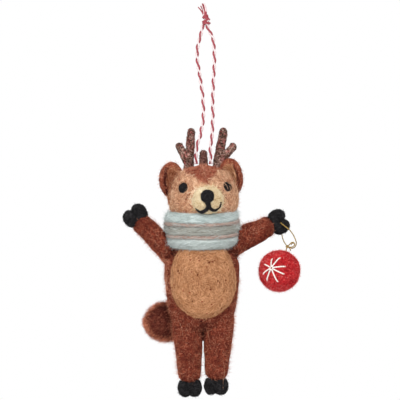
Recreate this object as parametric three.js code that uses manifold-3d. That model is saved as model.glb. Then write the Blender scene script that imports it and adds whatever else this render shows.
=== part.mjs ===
// A needle-felted wool reindeer ornament with a wound scarf, hung on a twine loop.
// A felt ball hangs on a gold thread from its right hoof.
// Millimetres, +Z up, and the figure faces -Y. Left and right are as seen from the front.
// The origin is the hanging point: the inside top of the twine loop, just under its knot.
import * as THREE from "three";
import { mergeVertices } from "three/addons/utils/BufferGeometryUtils.js";
import Module from "manifold-3d";

// Fits
const SEAT_GAP = 0.3; // between pieces that are felted, stitched or wound onto each other
const THREAD_CLEARANCE = 0.3; // round a thread or twine in its hole

// Hanging loop
const TWINE_DIAMETER = 1.8;
const LOOP_DROP = 68.43; // hanging point down to the hinge line where the twine leaves the crown
const EXIT_SPACING = 7.4; // between the two strands at the crown
const STITCH_DEPTH = 8.5; // how deep the twine's U is sewn into the head
const STRAND_TOP = 0.4; // where the strands end under the knot
const KNOT_X = 1.1;
const KNOT_CORE_DIAMETER = 3.7;
const KNOT_HEIGHT = 5.4;
const KNOT_WRAP_DIAMETER = 3.4; // middle line of the two turns that bind the knot
const KNOT_WRAP_THICKNESS = 1.35; // the twine is squeezed there
const KNOT_WRAP_SPACING = 1.35;
const KNOT_WRAP_TILT = 24; // degrees
const TWINE_TAIL_SPACING = 2.2; // between the two tails where they leave the knot
const TWINE_TAIL_LENGTH = 6;
const TWINE_TAIL_END = 1.45; // diameter at the frayed end
const TWINE_TAIL_LEAN_LEFT = 30; // degrees from upright, towards the left
const TWINE_TAIL_LEAN_RIGHT = 20;
// The strands run down from the knot to the crown: x and z of each point.
const LEFT_STRAND = [
  [-0.6, STRAND_TOP], [-1.2, -2.2], [-2.1, -5.5], [-3.1, -9.5], [-3.45, -13.5], [-3.2, -17.5],
  [-2.4, -22.5], [-1.65, -27.5], [-0.9, -32.5], [-0.45, -37.5], [-0.3, -42.5], [-0.55, -47.5],
  [-1.4, -51.5], [-1.9, -54.5], [-3.1, -58], [-3.8, -61.5], [-4, -64.5],
];
const RIGHT_STRAND = [
  [1.6, STRAND_TOP], [2.8, -2.3], [4.3, -5.2], [4.9, -9.5], [5.15, -13.5], [5.2, -17.5],
  [4.95, -22.5], [4.65, -27.5], [4.5, -32.5], [4.3, -37.5], [4.45, -42.5], [4.3, -47.5],
  [4.15, -52.5], [3.75, -56.5], [3.2, -60], [3.2, -63.5],
];

// Figure: levels are measured from a line just above the top of the head
const BALANCE_Y = 0.6; // the figure is set this far from the twine's plane so that it hangs upright
const HEAD_X = -0.3;
const HEAD_Y = -1;
const HEAD_WIDTH = 32.4;
const HEAD_DEPTH = 31;
const HEAD_HEIGHT = 32.7;
const CROWN_LEVEL = -1.3; // top of the head
const TORSO_X = -0.9;
const TORSO_DEPTH = 27;
const NECK_TOP_LEVEL = -27;
const NECK_TOP_WIDTH = 17.8; // where the neck's flat top rounds into its sides
const NECK_TOP_SAG = 2.75; // how far below the top that is
const NECK_LEVEL = -38;
const NECK_WIDTH = 26.6;
const CHEST_LEVEL = -51;
const CHEST_WIDTH = 36.4;
const BELLY_LEVEL = -62;
const BELLY_WIDTH = 35.6;
const HIP_LEVEL = -76;
const HIP_WIDTH = 31.4;
const SEAT_LEVEL = -83;
const SEAT_WIDTH = 21.8; // where the seat rounds into the hips
const SEAT_RISE = 0.9; // how far above the seat that is
const TUMMY_LEVEL = -57.6;
const TUMMY_WIDTH = 32;
const TUMMY_HEIGHT = 41;
const TUMMY_DEPTH = 32; // of the oval that bounds the pad, most of which is inside the torso
const TUMMY_SET_BACK = 8; // middle of that oval, behind the front of the torso
const TUMMY_CROWN = 2.8; // how far the pad stands out from the torso

// Face
const MASK_THICKNESS = 0.9;
const MASK_BACK = 1; // how far behind the middle of the head the tan layer reaches
const BROW_LEFT = [-8.6, -4]; // x and level of the left end of the hairline
const BROW_PEAK = [0.8, -10.9]; // tip of the widow's peak
const BROW_RIGHT = [6.7, -3.7];
const BROW_BEND_LEFT = [-5.6, -8.4]; // the hairline bends towards this between its left end and the peak
const BROW_BEND_RIGHT = [4.6, -7.8];
const CHEEK_LEVEL = -13; // where the tan layer reaches the sides of the head
const MUZZLE_X = 1.65;
const MUZZLE_LEVEL = -18.6;
const MUZZLE_WIDTH = 15.2;
const MUZZLE_HEIGHT = 13.4;
const MUZZLE_DEPTH = 11;
const MUZZLE_STANDOUT = 3.4; // beyond the face mask
const NOSE_LEVEL = -16.7;
const NOSE_WIDTH = 7;
const NOSE_HEIGHT = 6.6;
const NOSE_DEPTH = 6;
const NOSE_SINK = 1.2; // how far the nose's middle lies inside the muzzle
const MOUTH_LINE = 1.6; // thickness of the black wool line
// Half of the mouth: x and z from the middle of the muzzle, from the lip's cleft outwards.
const MOUTH_LEFT = [[0.7, -3.1], [-0.4, -4.6], [-1.8, -5.6], [-3.3, -5.85], [-4.7, -5], [-5.6, -4]];
const MOUTH_RIGHT = [[0.7, -3.1], [1.9, -4.8], [3.5, -5.3], [5.2, -4.4], [6.3, -3], [6.6, -1.2]];
const EYE_WIDTH = 5.2;
const EYE_HEIGHT = 5.1;
const EYE_DEPTH = 3;
const EYE_LEFT = [-10.45, -12.65];
const EYE_RIGHT = [11.6, -12];
const EYE_TILT = 12; // degrees

// Ears
const EAR_WIDTH = 12.2;
const EAR_THICKNESS = 5.6;
const EAR_RIM = 1.9; // width of the rim round the cup
const EAR_CUP_IN = 1; // the cup lies this far off the ear's middle, towards the face
const EAR_CUP_DEPTH = 3.2;
const EAR_LINING_THICKNESS = 1;
const EAR_Y = 1.2;
// Inset and level give an ear's middle, in from the head's side. Lean is degrees, top inwards.
const EAR_LEFT = { height: 17.6, inset: 0.3, level: -8.6, lean: -2 };
const EAR_RIGHT = { height: 18.9, inset: 2.7, level: -7.3, lean: 6 };

// Antlers: x from the head's axis, and level, of the middle of each end
const ANTLER_Y = 2.5;
const ANTLER_BASE_RADIUS = 2.5;
const ANTLER_FORK_RADIUS = 2.2;
const ANTLER_TIP_RADIUS = 1.75;
const TINE_BASE_RADIUS = 2.1;
const TINE_TIP_RADIUS = 1.7;
const ANTLER_ROOT_LEVEL = -5;
const LEFT_ANTLER = { base: -7.5, fork: [-7.2, -0.5], tip: [-6.1, 15.4], tine: [-11.9, 8.2] };
const RIGHT_ANTLER = { base: 7.2, fork: [7.2, -0.5], tip: [10, 15.5], tine: [14.7, 7.9] };
const TUFT_BASE_RADIUS = 2.4; // the small centre point between the strands
const TUFT_TIP_RADIUS = 1.7;
const TUFT_HEIGHT = 6.4;

// Limbs: each runs from a root inside the torso to its blunt end, with a radius at the root, middle and end
// An arm's inset is its root's distance in from the side of the chest, and its angle is degrees above level.
const ARM_LEFT = { inset: 7.7, level: -49.4, angle: 43.8, length: 29.2, radii: [6.7, 5.4, 4.7] };
const ARM_RIGHT = { inset: 8.45, level: -42.7, angle: 25, length: 28.6, radii: [7.3, 5.9, 4.6] };
const ARM_FORWARD = 3.5; // degrees that both arms point to the front
const LEG_ROOT_RISE = 9; // above the seat
const LEG_MIDDLE_X = -0.5; // between the legs
const LEG_LEFT_LENGTH = 36.2;
const LEG_RIGHT_LENGTH = 35;
const LEG_HIP_SPACING = 16.2;
const LEG_ANKLE_SPACING = 13.3;
const LEG_RADII = [7.9, 6.6, 4.75];
const LIMB_ROUNDING = 3.2; // length of the rounded stretch at a limb's end
const FRONT_TOE = { length: 8.8, width: 6.8, depth: 8, spread: 5.6, overlap: 1.9 };
const HIND_TOE = { length: 9, width: 6.9, depth: 9.4, spread: 4.9, overlap: 2.6 };
const HEEL_LENGTH = 0.6; // the heel that joins two toes, as shares of a toe's sizes
const HEEL_WIDTH = 0.6; // beyond the toes' spread
const HEEL_DEPTH = 0.85;
const TAIL_LENGTH = 22.8;
const TAIL_RADII = [6.2, 9.2, 8];
const TAIL_ROUNDING = 10;
const TAIL_LEVEL = -79.2;
const TAIL_ROOT_IN = 6; // left of the torso's axis
const TAIL_ROOT_BACK = 8.5; // behind the torso's axis
const TAIL_TURN = 9; // degrees that the tail points backwards
const TAIL_DROOP = 3; // degrees

// Scarf: one length of roving wound round the neck, with a thin yarn wound in its grooves
const SCARF_TURNS = 3;
const SCARF_PITCH = 6.1;
const SCARF_TOP_LEVEL = -21.65;
const SCARF_WIDTH = 37.6;
const SCARF_DEPTH = 36;
const SCARF_Y = -0.6;
const SCARF_BULGE = 1.6; // the winding's ends lie this much closer in than its middle
const SCARF_DIP = 3.5; // the turns are this much lower at the front than at the back
const SCARF_CLIMB_AT_BACK = 0.75; // share of the pitch's slope that is moved to the back
const ROVING_THICKNESS = 5;
const ROVING_HEIGHT = 5.1;
const ROVING_SIDES = 8;
const YARN_DIAMETER = 1.3;
const YARN_OUT = 1.4; // yarn's middle, out from the roving's middle
const YARN_TURNS = 1.9;
const YARN_SIDES = 6;
const STEPS_PER_TURN = 22;
const LEAST_WINDING_GAP = 0.4;

// Ball on its gold thread
const THREAD_DIAMETER = 0.6;
const THREAD_HOLE_OUT = 3.4; // hole in the hoof, beyond the wrist along the arm
const THREAD_HOLE_DOWN = 0.9; // hole, off the arm's axis towards the lower toe
const BOW_X = 3.4; // knot of the thread, from the hole
const BOW_Z = -11.85;
const BOW_KNOT_DIAMETER = 1.8;
const BALL_DIAMETER = 20.8;
const STUB_LENGTH = 2.4; // middle of the bow's knot to the ball's surface
const STUB_SINK = 3.5; // how deep the thread runs into the ball
const BALL_LEAN = 17.8; // degrees that the ball's thread leans from upright
const SNOWFLAKE_SPOKES = 8;
const SPOKE_LENGTH = 7.5;
const SPOKE_DIAMETER = 1;
const SNOWFLAKE_TURN = -23.3; // degrees from the front, towards the left
const SNOWFLAKE_LIFT = 2; // degrees above the ball's middle
const SNOWFLAKE_ROLL = 10; // degrees
// The thread's loop, measured from the hole: up from the knot behind the hoof, through it and down in front.
const THREAD_LOOP = [
  [2.9, 0.8, -11.1], [1.6, 2.9, -9], [0.75, 4.5, -5.6], [0.4, 4.9, -2.4], [0.15, 4.6, -0.6],
  [0, 3.6, 0], [0, 1.2, 0], [0, -1.2, 0], [0, -3.6, 0], [0.35, -4.7, -0.25], [1.4, -5, -1.1],
  [4.25, -4.9, -3.3], [6.2, -4.4, -5.8], [7.4, -3.5, -8.3], [7.9, -2.4, -10.4],
  [6.9, -1.4, -12.3], [5.6, -0.9, -12.7], [4.6, -0.55, -12.25],
];
const BOW_CURL = [[0, 0, 0], [1, 0.3, 0.9], [2.2, 0.3, 2], [3.3, 0, 2], [3.7, -0.5, 1.2]]; // from the knot
const BOW_TAIL = [[0, 0, 0], [0.9, 0.1, -0.5], [1.5, 0.1, -1.3], [1.7, 0.1, -2.1]]; // from the knot

// Values that follow from those
const TWINE_RADIUS = TWINE_DIAMETER / 2;
const THREAD_RADIUS = THREAD_DIAMETER / 2;
const BALL_RADIUS = BALL_DIAMETER / 2;
const HEAD_LEVEL = CROWN_LEVEL - HEAD_HEIGHT / 2;
const EXIT_Y = -BALANCE_Y;
const EXIT_RISE = ellipsoidRise(EXIT_SPACING / 2, EXIT_Y - HEAD_Y, HEAD_WIDTH, HEAD_DEPTH, HEAD_HEIGHT);
const EXIT_LEVEL = HEAD_LEVEL + EXIT_RISE; // of the crown where the twine leaves it
const HINGE_LEVEL = EXIT_LEVEL + TWINE_RADIUS + SEAT_GAP;
const LEG_ROOT_LEVEL = SEAT_LEVEL + LEG_ROOT_RISE;
const LIMB_SIDES = 12;
const degrees = THREE.MathUtils.degToRad;

// Height of an ellipsoid's surface above its middle, at a place off its axis. The sizes are whole widths.
function ellipsoidRise(x, y, width, depth, height) {
  const inside = 1 - (2 * x / width) ** 2 - (2 * y / depth) ** 2;
  return height / 2 * Math.sqrt(inside);
}

// Joining and cutting solids
const wasm = await Module();
wasm.setup();

function solidFrom(geometry) {
  const bare = geometry.clone();
  bare.deleteAttribute("normal");
  bare.deleteAttribute("uv");
  const merged = mergeVertices(bare, 1e-4);
  return new wasm.Manifold(new wasm.Mesh({
    numProp: 3,
    vertProperties: new Float32Array(merged.attributes.position.array),
    triVerts: new Uint32Array(merged.index.array),
  }));
}

function geometryFrom(solid) {
  const mesh = solid.getMesh();
  const geometry = new THREE.BufferGeometry();
  geometry.setAttribute("position", new THREE.BufferAttribute(new Float32Array(mesh.vertProperties), 3));
  geometry.setIndex(new THREE.BufferAttribute(new Uint32Array(mesh.triVerts), 1));
  geometry.computeVertexNormals();
  return geometry;
}

function join(...geometries) {
  return geometryFrom(geometries.map(solidFrom).reduce((whole, next) => whole.add(next)));
}

function cut(geometry, ...cutters) {
  const whole = solidFrom(geometry);
  return geometryFrom(cutters.map(solidFrom).reduce((left, cutter) => left.subtract(cutter), whole));
}

function common(first, second) {
  return geometryFrom(solidFrom(first).intersect(solidFrom(second)));
}

// Basic forms
function ellipsoid(width, depth, height, around = 12, rings = 8) {
  const geometry = new THREE.SphereGeometry(0.5, around, rings);
  geometry.rotateX(Math.PI / 2);
  return geometry.scale(width, depth, height);
}

// A profile of [radius, level] points, from the bottom to the top, turned about Z.
function turned(profile, around = LIMB_SIDES) {
  const points = profile.map(([radius, level]) => new THREE.Vector2(radius, level));
  return new THREE.LatheGeometry(points, around).rotateX(Math.PI / 2);
}

// A plump limb along +Z from its root at 0. Its radius runs through three values and both ends are rounded.
function limb(length, [root, middle, end], rounding, grow = 0) {
  const rings = 10;
  const profile = [];
  for (let ring = 0; ring <= rings; ring += 1) {
    const share = (1 - Math.cos(Math.PI * ring / rings)) / 2;
    const toEnd = Math.min(share, 1 - share) * length;
    const roundness = toEnd < rounding ? Math.sqrt(1 - (1 - toEnd / rounding) ** 2) : 1;
    const rootPart = root * (1 - share) * (1 - 2 * share);
    const middlePart = middle * 4 * share * (1 - share);
    const endPart = end * share * (2 * share - 1);
    const swell = rootPart + middlePart + endPart + grow;
    const radius = ring === 0 || ring === rings ? 0 : swell * roundness;
    profile.push([radius, share * (length + 2 * grow) - grow]);
  }
  return turned(profile);
}

// A round bar from one point to another with its own radius and a round end at each.
function taperedBar(from, to, fromRadius, toRadius) {
  const along = new THREE.Vector3().subVectors(to, from);
  const length = along.length();
  const quarter = 3;
  const profile = [];
  for (let step = 0; step <= quarter; step += 1) {
    const angle = Math.PI / 2 * step / quarter;
    profile.push([step === 0 ? 0 : fromRadius * Math.sin(angle), -fromRadius * Math.cos(angle)]);
  }
  for (let step = 0; step <= quarter; step += 1) {
    const angle = Math.PI / 2 * step / quarter;
    profile.push([step === quarter ? 0 : toRadius * Math.cos(angle), length + toRadius * Math.sin(angle)]);
  }
  const geometry = turned(profile, 10);
  const up = new THREE.Vector3(0, 0, 1);
  geometry.applyQuaternion(new THREE.Quaternion().setFromUnitVectors(up, along.normalize()));
  return geometry.translate(from.x, from.y, from.z);
}

// A round tube along a curve, with flat ends.
function tube(curve, radius, steps, sides) {
  const section = new THREE.Shape();
  for (let side = 0; side < sides; side += 1) {
    const angle = 2 * Math.PI * side / sides;
    const point = [radius * Math.cos(angle), radius * Math.sin(angle)];
    if (side === 0) section.moveTo(...point);
    else section.lineTo(...point);
  }
  section.closePath();
  return new THREE.ExtrudeGeometry(section, { steps, extrudePath: curve, bevelEnabled: false });
}

function curveThrough(points) {
  const places = points.map((point) => new THREE.Vector3(...point));
  return new THREE.CatmullRomCurve3(places, false, "centripetal");
}

// A closed body from rings of points, each counter-clockwise as seen from the next one, with flat ends.
function ringBody(rings) {
  const sides = rings[0].length;
  const positions = rings.flat().flatMap((point) => point.toArray());
  const index = [];
  for (let ring = 0; ring + 1 < rings.length; ring += 1) {
    for (let side = 0; side < sides; side += 1) {
      const here = ring * sides + side;
      const beside = ring * sides + (side + 1) % sides;
      index.push(here, beside, here + sides, beside, beside + sides, here + sides);
    }
  }
  const last = (rings.length - 1) * sides;
  for (let side = 1; side + 1 < sides; side += 1) {
    index.push(0, side + 1, side, last, last + side, last + side + 1);
  }
  const geometry = new THREE.BufferGeometry();
  geometry.setAttribute("position", new THREE.Float32BufferAttribute(positions, 3));
  geometry.setIndex(index);
  return geometry;
}

// Felt, wool and thread
function material(color, roughness = 0.95, metalness = 0) {
  return new THREE.MeshStandardMaterial({ color, roughness, metalness });
}
const BROWN_FELT = material(0x7b3d2f);
const RUST_FELT = material(0x9c5a47);
const TAN_FELT = material(0xc49574);
const TUMMY_FELT = material(0xb8825c);
const CREAM_FELT = material(0xdcc39c);
const BLACK_FELT = material(0x2b282a);
const EAR_FELT = material(0x8f523c);
const LINING_FELT = material(0x9d674e);
const ANTLER_FELT = material(0x7c584d);
const BLUE_ROVING = material(0xb6c2be);
const STRIPE_YARN = material(0xa4907f);
const BALL_FELT = material(0xb43034);
const WHITE_YARN = material(0xf1dfd6);
const GOLD_THREAD = material(0xb89a55, 0.45, 0.6);
const TWINE = material(0xd9a5a5);

function piece(parent, name, geometry, surface) {
  const mesh = new THREE.Mesh(geometry, surface);
  mesh.name = name;
  parent.add(mesh);
  return mesh;
}

const ornament = new THREE.Group();

// Hanging loop: two strands from the crown to the knot, and the knot's two tails
const hangingLoop = new THREE.Group();
ornament.add(hangingLoop);

// A strand ends at the crown in a ball on the hinge line, so its gap to the head stays as the figure swings.
function strand(route, exitX) {
  const points = route.map(([x, z]) => [x, 0, z]);
  const exit = new THREE.Vector3(exitX, 0, -LOOP_DROP);
  points.push(exit.toArray());
  const end = ellipsoid(TWINE_DIAMETER, TWINE_DIAMETER, TWINE_DIAMETER, 8, 8).translate(...exit.toArray());
  return join(tube(curveThrough(points), TWINE_RADIUS, 22, 8), end);
}
const exitLeft = HEAD_X - EXIT_SPACING / 2;
const exitRight = HEAD_X + EXIT_SPACING / 2;
piece(hangingLoop, "twine_left_strand", strand(LEFT_STRAND, exitLeft), TWINE);
piece(hangingLoop, "twine_right_strand", strand(RIGHT_STRAND, exitRight), TWINE);

// The knot is a lump bound by two slanting turns of twine.
function knot() {
  const core = ellipsoid(KNOT_CORE_DIAMETER, KNOT_CORE_DIAMETER, KNOT_HEIGHT, 10, 6);
  const wraps = [-1, 1].map((side) => {
    const wrap = new THREE.TorusGeometry(KNOT_WRAP_DIAMETER / 2, KNOT_WRAP_THICKNESS / 2, 5, 12);
    return wrap.rotateY(degrees(side * KNOT_WRAP_TILT)).translate(0, 0, side * KNOT_WRAP_SPACING / 2);
  });
  return join(core, ...wraps);
}
const knotMesh = piece(hangingLoop, "twine_knot", knot(), TWINE);
knotMesh.position.set(KNOT_X, 0, STRAND_TOP + SEAT_GAP + KNOT_HEIGHT / 2);

function looseTail(name, side, lean) {
  const radii = [TWINE_RADIUS, TWINE_RADIUS, TWINE_TAIL_END / 2];
  const tail = limb(TWINE_TAIL_LENGTH, radii, TWINE_RADIUS / 2);
  const mesh = piece(hangingLoop, name, tail, TWINE);
  mesh.position.set(KNOT_X + side * TWINE_TAIL_SPACING / 2, 0, STRAND_TOP + KNOT_HEIGHT + SEAT_GAP);
  mesh.rotation.y = degrees(-lean);
}
looseTail("twine_tail_left", -1, TWINE_TAIL_LEAN_LEFT);
looseTail("twine_tail_right", 1, TWINE_TAIL_LEAN_RIGHT);

// The figure hangs from the hinge line.
const figure = new THREE.Group();
figure.position.set(0, BALANCE_Y, -LOOP_DROP - HINGE_LEVEL);
ornament.add(figure);

// Torso and head
function torsoForm(grow = 0) {
  const outline = new THREE.SplineCurve([
    new THREE.Vector2(0, SEAT_LEVEL - grow),
    new THREE.Vector2(SEAT_WIDTH / 2, SEAT_LEVEL + SEAT_RISE - grow),
    new THREE.Vector2(HIP_WIDTH / 2 + grow, HIP_LEVEL),
    new THREE.Vector2(BELLY_WIDTH / 2 + grow, BELLY_LEVEL),
    new THREE.Vector2(CHEST_WIDTH / 2 + grow, CHEST_LEVEL),
    new THREE.Vector2(NECK_WIDTH / 2 + grow, NECK_LEVEL),
    new THREE.Vector2(NECK_TOP_WIDTH / 2 + grow, NECK_TOP_LEVEL - NECK_TOP_SAG + grow),
    new THREE.Vector2(0, NECK_TOP_LEVEL + grow),
  ]);
  const rings = 16;
  const profile = outline.getPoints(rings).map((point) => [point.x, point.y]);
  profile[0][0] = 0;
  profile[rings][0] = 0;
  const flatness = (TORSO_DEPTH + 2 * grow) / (CHEST_WIDTH + 2 * grow);
  return turned(profile, 20).scale(1, flatness, 1).translate(TORSO_X, 0, 0);
}

function headForm(grow = 0) {
  const form = ellipsoid(HEAD_WIDTH + 2 * grow, HEAD_DEPTH + 2 * grow, HEAD_HEIGHT + 2 * grow, 20, 14);
  return form.translate(HEAD_X, HEAD_Y, HEAD_LEVEL);
}

// The twine is sewn through the crown in a U: half an ellipse from exit to exit.
class StitchCurve extends THREE.Curve {
  getPoint(share, target = new THREE.Vector3()) {
    const angle = Math.PI * share;
    const across = EXIT_SPACING / 2 * Math.cos(angle);
    const top = EXIT_LEVEL - TWINE_RADIUS / 2;
    return target.set(HEAD_X - across, EXIT_Y, top - STITCH_DEPTH * Math.sin(angle));
  }
}
const channelRadius = TWINE_RADIUS + THREAD_CLEARANCE;
const channel = tube(new StitchCurve(), channelRadius, 14, 8);
const exitHoles = [exitLeft, exitRight].map((x) => {
  const hole = new THREE.CylinderGeometry(channelRadius, channelRadius, STITCH_DEPTH / 2, 8);
  return hole.rotateX(Math.PI / 2).translate(x, EXIT_Y, CROWN_LEVEL);
});

piece(figure, "torso", torsoForm(), BROWN_FELT);
piece(figure, "head", cut(headForm(), torsoForm(SEAT_GAP), channel, ...exitHoles), RUST_FELT);
piece(figure, "twine_stitch", tube(new StitchCurve(), TWINE_RADIUS, 14, 8), TWINE);

// Scarf: a point of the winding, counted in turns clockwise from the back as seen from above
function scarfPoint(turns, outward, lift) {
  const whole = Math.floor(turns);
  const share = turns - whole;
  const angle = 2 * Math.PI * share;
  const climb = share + SCARF_CLIMB_AT_BACK * Math.sin(angle) / (2 * Math.PI);
  const height = turns - lift / SCARF_PITCH;
  const closer = SCARF_BULGE * (2 * height / SCARF_TURNS - 1) ** 2;
  const reach = outward - closer - ROVING_THICKNESS / 2;
  return new THREE.Vector3(
    TORSO_X + (SCARF_WIDTH / 2 + reach) * Math.sin(angle),
    SCARF_Y + (SCARF_DEPTH / 2 + reach) * Math.cos(angle),
    SCARF_TOP_LEVEL - SCARF_PITCH * (whole + climb) - SCARF_DIP * (1 - Math.cos(angle)) / 2 + lift,
  );
}

function winding(turnCount, firstTurn, outward, lift, thickness, height, sides) {
  const rings = [];
  const steps = Math.round(turnCount * STEPS_PER_TURN);
  for (let step = 0; step <= steps; step += 1) {
    const turns = firstTurn + turnCount * step / steps;
    const ring = [];
    for (let side = 0; side < sides; side += 1) {
      const angle = 2 * Math.PI * side / sides;
      const out = outward + thickness / 2 * Math.cos(angle);
      ring.push(scarfPoint(turns, out, lift + height / 2 * Math.sin(angle)));
    }
    rings.push(ring);
  }
  return rings;
}

// Least distance between points of a winding that lie more than half a turn apart.
function leastGap(rings) {
  let least = Infinity;
  for (let ring = 0; ring < rings.length; ring += 1) {
    for (let other = ring + STEPS_PER_TURN / 2; other < rings.length; other += 1) {
      for (const point of rings[ring]) {
        for (const far of rings[other]) least = Math.min(least, point.distanceTo(far));
      }
    }
  }
  return least;
}

const rovingRings = winding(SCARF_TURNS, 0, 0, 0, ROVING_THICKNESS, ROVING_HEIGHT, ROVING_SIDES);
const yarnStart = (SCARF_TURNS - 1 - YARN_TURNS) / 2;
const yarnRings = winding(
  YARN_TURNS, yarnStart, YARN_OUT, -SCARF_PITCH / 2, YARN_DIAMETER, YARN_DIAMETER, YARN_SIDES,
);
for (const [name, rings] of [["scarf", rovingRings], ["scarf_stripe", yarnRings]]) {
  const gap = leastGap(rings);
  const verdict = gap > LEAST_WINDING_GAP ? "clear" : "too close";
  console.log(`${name}: least gap to itself ${gap.toFixed(2)} mm, ${verdict}`);
}
piece(figure, "scarf", cut(ringBody(rovingRings), headForm(SEAT_GAP), torsoForm(SEAT_GAP)), BLUE_ROVING);
piece(figure, "scarf_stripe", ringBody(yarnRings), STRIPE_YARN);

// The space inside the scarf's outer skin, tilted as its turns are, which the pieces round it are cut by.
function scarfEnvelope() {
  const [right, left] = [0.25, 0.75].map((turns) => scarfPoint(turns, 0, 0).z);
  const half = SCARF_PITCH * (SCARF_TURNS - 1) / 2 + ROVING_HEIGHT / 2 + SEAT_GAP;
  const outer = SCARF_WIDTH / 2 + SEAT_GAP;
  const shoulder = ROVING_HEIGHT / 3;
  const profile = [
    [0, -half], [outer - SCARF_BULGE - shoulder, -half], [outer - SCARF_BULGE / 2, shoulder - half],
    [outer, 0], [outer - SCARF_BULGE / 2, half - shoulder],
    [outer - SCARF_BULGE - shoulder, half], [0, half],
  ];
  const envelope = turned(profile, 24).scale(1, (SCARF_DEPTH / 2 + SEAT_GAP) / outer, 1);
  envelope.rotateX(Math.atan2(SCARF_DIP, SCARF_DEPTH));
  envelope.rotateY(-Math.atan2(right - left, SCARF_WIDTH));
  const middle = SCARF_TOP_LEVEL - SCARF_PITCH * SCARF_TURNS / 2 - SCARF_DIP / 2;
  return envelope.translate(TORSO_X, SCARF_Y, middle);
}
const rovingSpace = winding(
  SCARF_TURNS, 0, 0, 0, ROVING_THICKNESS + 2 * SEAT_GAP, ROVING_HEIGHT + 2 * SEAT_GAP, ROVING_SIDES,
);
const insideScarf = join(scarfEnvelope(), ringBody(rovingSpace));

// Tummy pad: a crowned layer that follows the front of the torso, bounded by an oval that rounds its edge
const tummyOval = ellipsoid(TUMMY_WIDTH, TUMMY_DEPTH, TUMMY_HEIGHT, 20, 12);
tummyOval.translate(TORSO_X, TUMMY_SET_BACK - TORSO_DEPTH / 2, TUMMY_LEVEL);
const tummyLayer = common(torsoForm(SEAT_GAP + TUMMY_CROWN), tummyOval);
piece(figure, "tummy_pad", cut(tummyLayer, torsoForm(SEAT_GAP), insideScarf), TUMMY_FELT);

// The face mask is a thin layer over the head, and what sits on it starts at overMask.
const maskSkin = SEAT_GAP + MASK_THICKNESS;
const overMask = headForm(maskSkin + SEAT_GAP);

// Ears: a cupped oval each, with a lining in the cup
function earPlace(side, { inset, level, lean }) {
  const place = new THREE.Matrix4().makeRotationY(degrees(-side * lean));
  return place.setPosition(HEAD_X + side * (HEAD_WIDTH / 2 - inset), EAR_Y, level);
}

function earForm(side, ear, grow = 0) {
  const form = ellipsoid(EAR_WIDTH + 2 * grow, EAR_THICKNESS + 2 * grow, ear.height + 2 * grow, 16, 10);
  return form.applyMatrix4(earPlace(side, ear));
}

function earCup(side, ear, shrink, forward) {
  const across = EAR_WIDTH - 2 * (EAR_RIM + shrink);
  const tall = ear.height - 2 * (EAR_RIM + shrink);
  const cup = ellipsoid(across, 2 * (EAR_CUP_DEPTH - shrink), tall);
  return cup.translate(-side * EAR_CUP_IN, -EAR_THICKNESS / 2 - forward, 0).applyMatrix4(earPlace(side, ear));
}

for (const [name, side, ear] of [["left", -1, EAR_LEFT], ["right", 1, EAR_RIGHT]]) {
  const shell = cut(earForm(side, ear), earCup(side, ear, 0, 0), headForm(SEAT_GAP));
  piece(figure, `ear_${name}`, shell, EAR_FELT);
  const fill = common(earCup(side, ear, SEAT_GAP, 0), earForm(side, ear));
  const lining = cut(fill, earCup(side, ear, SEAT_GAP, EAR_LINING_THICKNESS), overMask);
  piece(figure, `ear_lining_${name}`, lining, LINING_FELT);
}
const earSpaces = [earForm(-1, EAR_LEFT, SEAT_GAP), earForm(1, EAR_RIGHT, SEAT_GAP)];

// Antlers
function antler({ base, fork, tip, tine }) {
  const at = ([x, level]) => new THREE.Vector3(HEAD_X + x, ANTLER_Y, level);
  const trunk = taperedBar(at([base, ANTLER_ROOT_LEVEL]), at(fork), ANTLER_BASE_RADIUS, ANTLER_FORK_RADIUS);
  const beam = taperedBar(at(fork), at(tip), ANTLER_FORK_RADIUS, ANTLER_TIP_RADIUS);
  const branch = taperedBar(at(fork), at(tine), TINE_BASE_RADIUS, TINE_TIP_RADIUS);
  return cut(join(trunk, beam, branch), headForm(SEAT_GAP), ...earSpaces);
}
piece(figure, "antler_left", antler(LEFT_ANTLER), ANTLER_FELT);
piece(figure, "antler_right", antler(RIGHT_ANTLER), ANTLER_FELT);
const tuftRoot = new THREE.Vector3(HEAD_X, ANTLER_Y, CROWN_LEVEL - TUFT_BASE_RADIUS);
const tuftTip = new THREE.Vector3(HEAD_X, ANTLER_Y, TUFT_HEIGHT - TUFT_TIP_RADIUS);
const tuft = taperedBar(tuftRoot, tuftTip, TUFT_BASE_RADIUS, TUFT_TIP_RADIUS);
piece(figure, "antler_centre_point", cut(tuft, headForm(SEAT_GAP)), ANTLER_FELT);

// Face mask: a thin layer over the front of the head, with a widow's peak in its upper edge
function maskOutline() {
  const reach = HEAD_WIDTH / 2 + MASK_THICKNESS + 2 * SEAT_GAP;
  const left = HEAD_X - reach;
  const right = HEAD_X + reach;
  const outline = new THREE.Shape();
  outline.moveTo(left, CROWN_LEVEL - HEAD_HEIGHT);
  outline.lineTo(right, CROWN_LEVEL - HEAD_HEIGHT);
  outline.lineTo(right, CHEEK_LEVEL);
  outline.quadraticCurveTo(right, BROW_RIGHT[1], ...BROW_RIGHT);
  outline.quadraticCurveTo(...BROW_BEND_RIGHT, ...BROW_PEAK);
  outline.quadraticCurveTo(...BROW_BEND_LEFT, ...BROW_LEFT);
  outline.quadraticCurveTo(left, BROW_LEFT[1], left, CHEEK_LEVEL);
  outline.closePath();
  const depth = HEAD_DEPTH;
  const block = new THREE.ExtrudeGeometry(outline, { depth, curveSegments: 5, bevelEnabled: false });
  return block.rotateX(Math.PI / 2).translate(0, HEAD_Y + MASK_BACK, 0);
}
const mask = cut(common(headForm(maskSkin), maskOutline()), headForm(SEAT_GAP), insideScarf, ...earSpaces);
piece(figure, "face_mask", mask, TAN_FELT);

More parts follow.
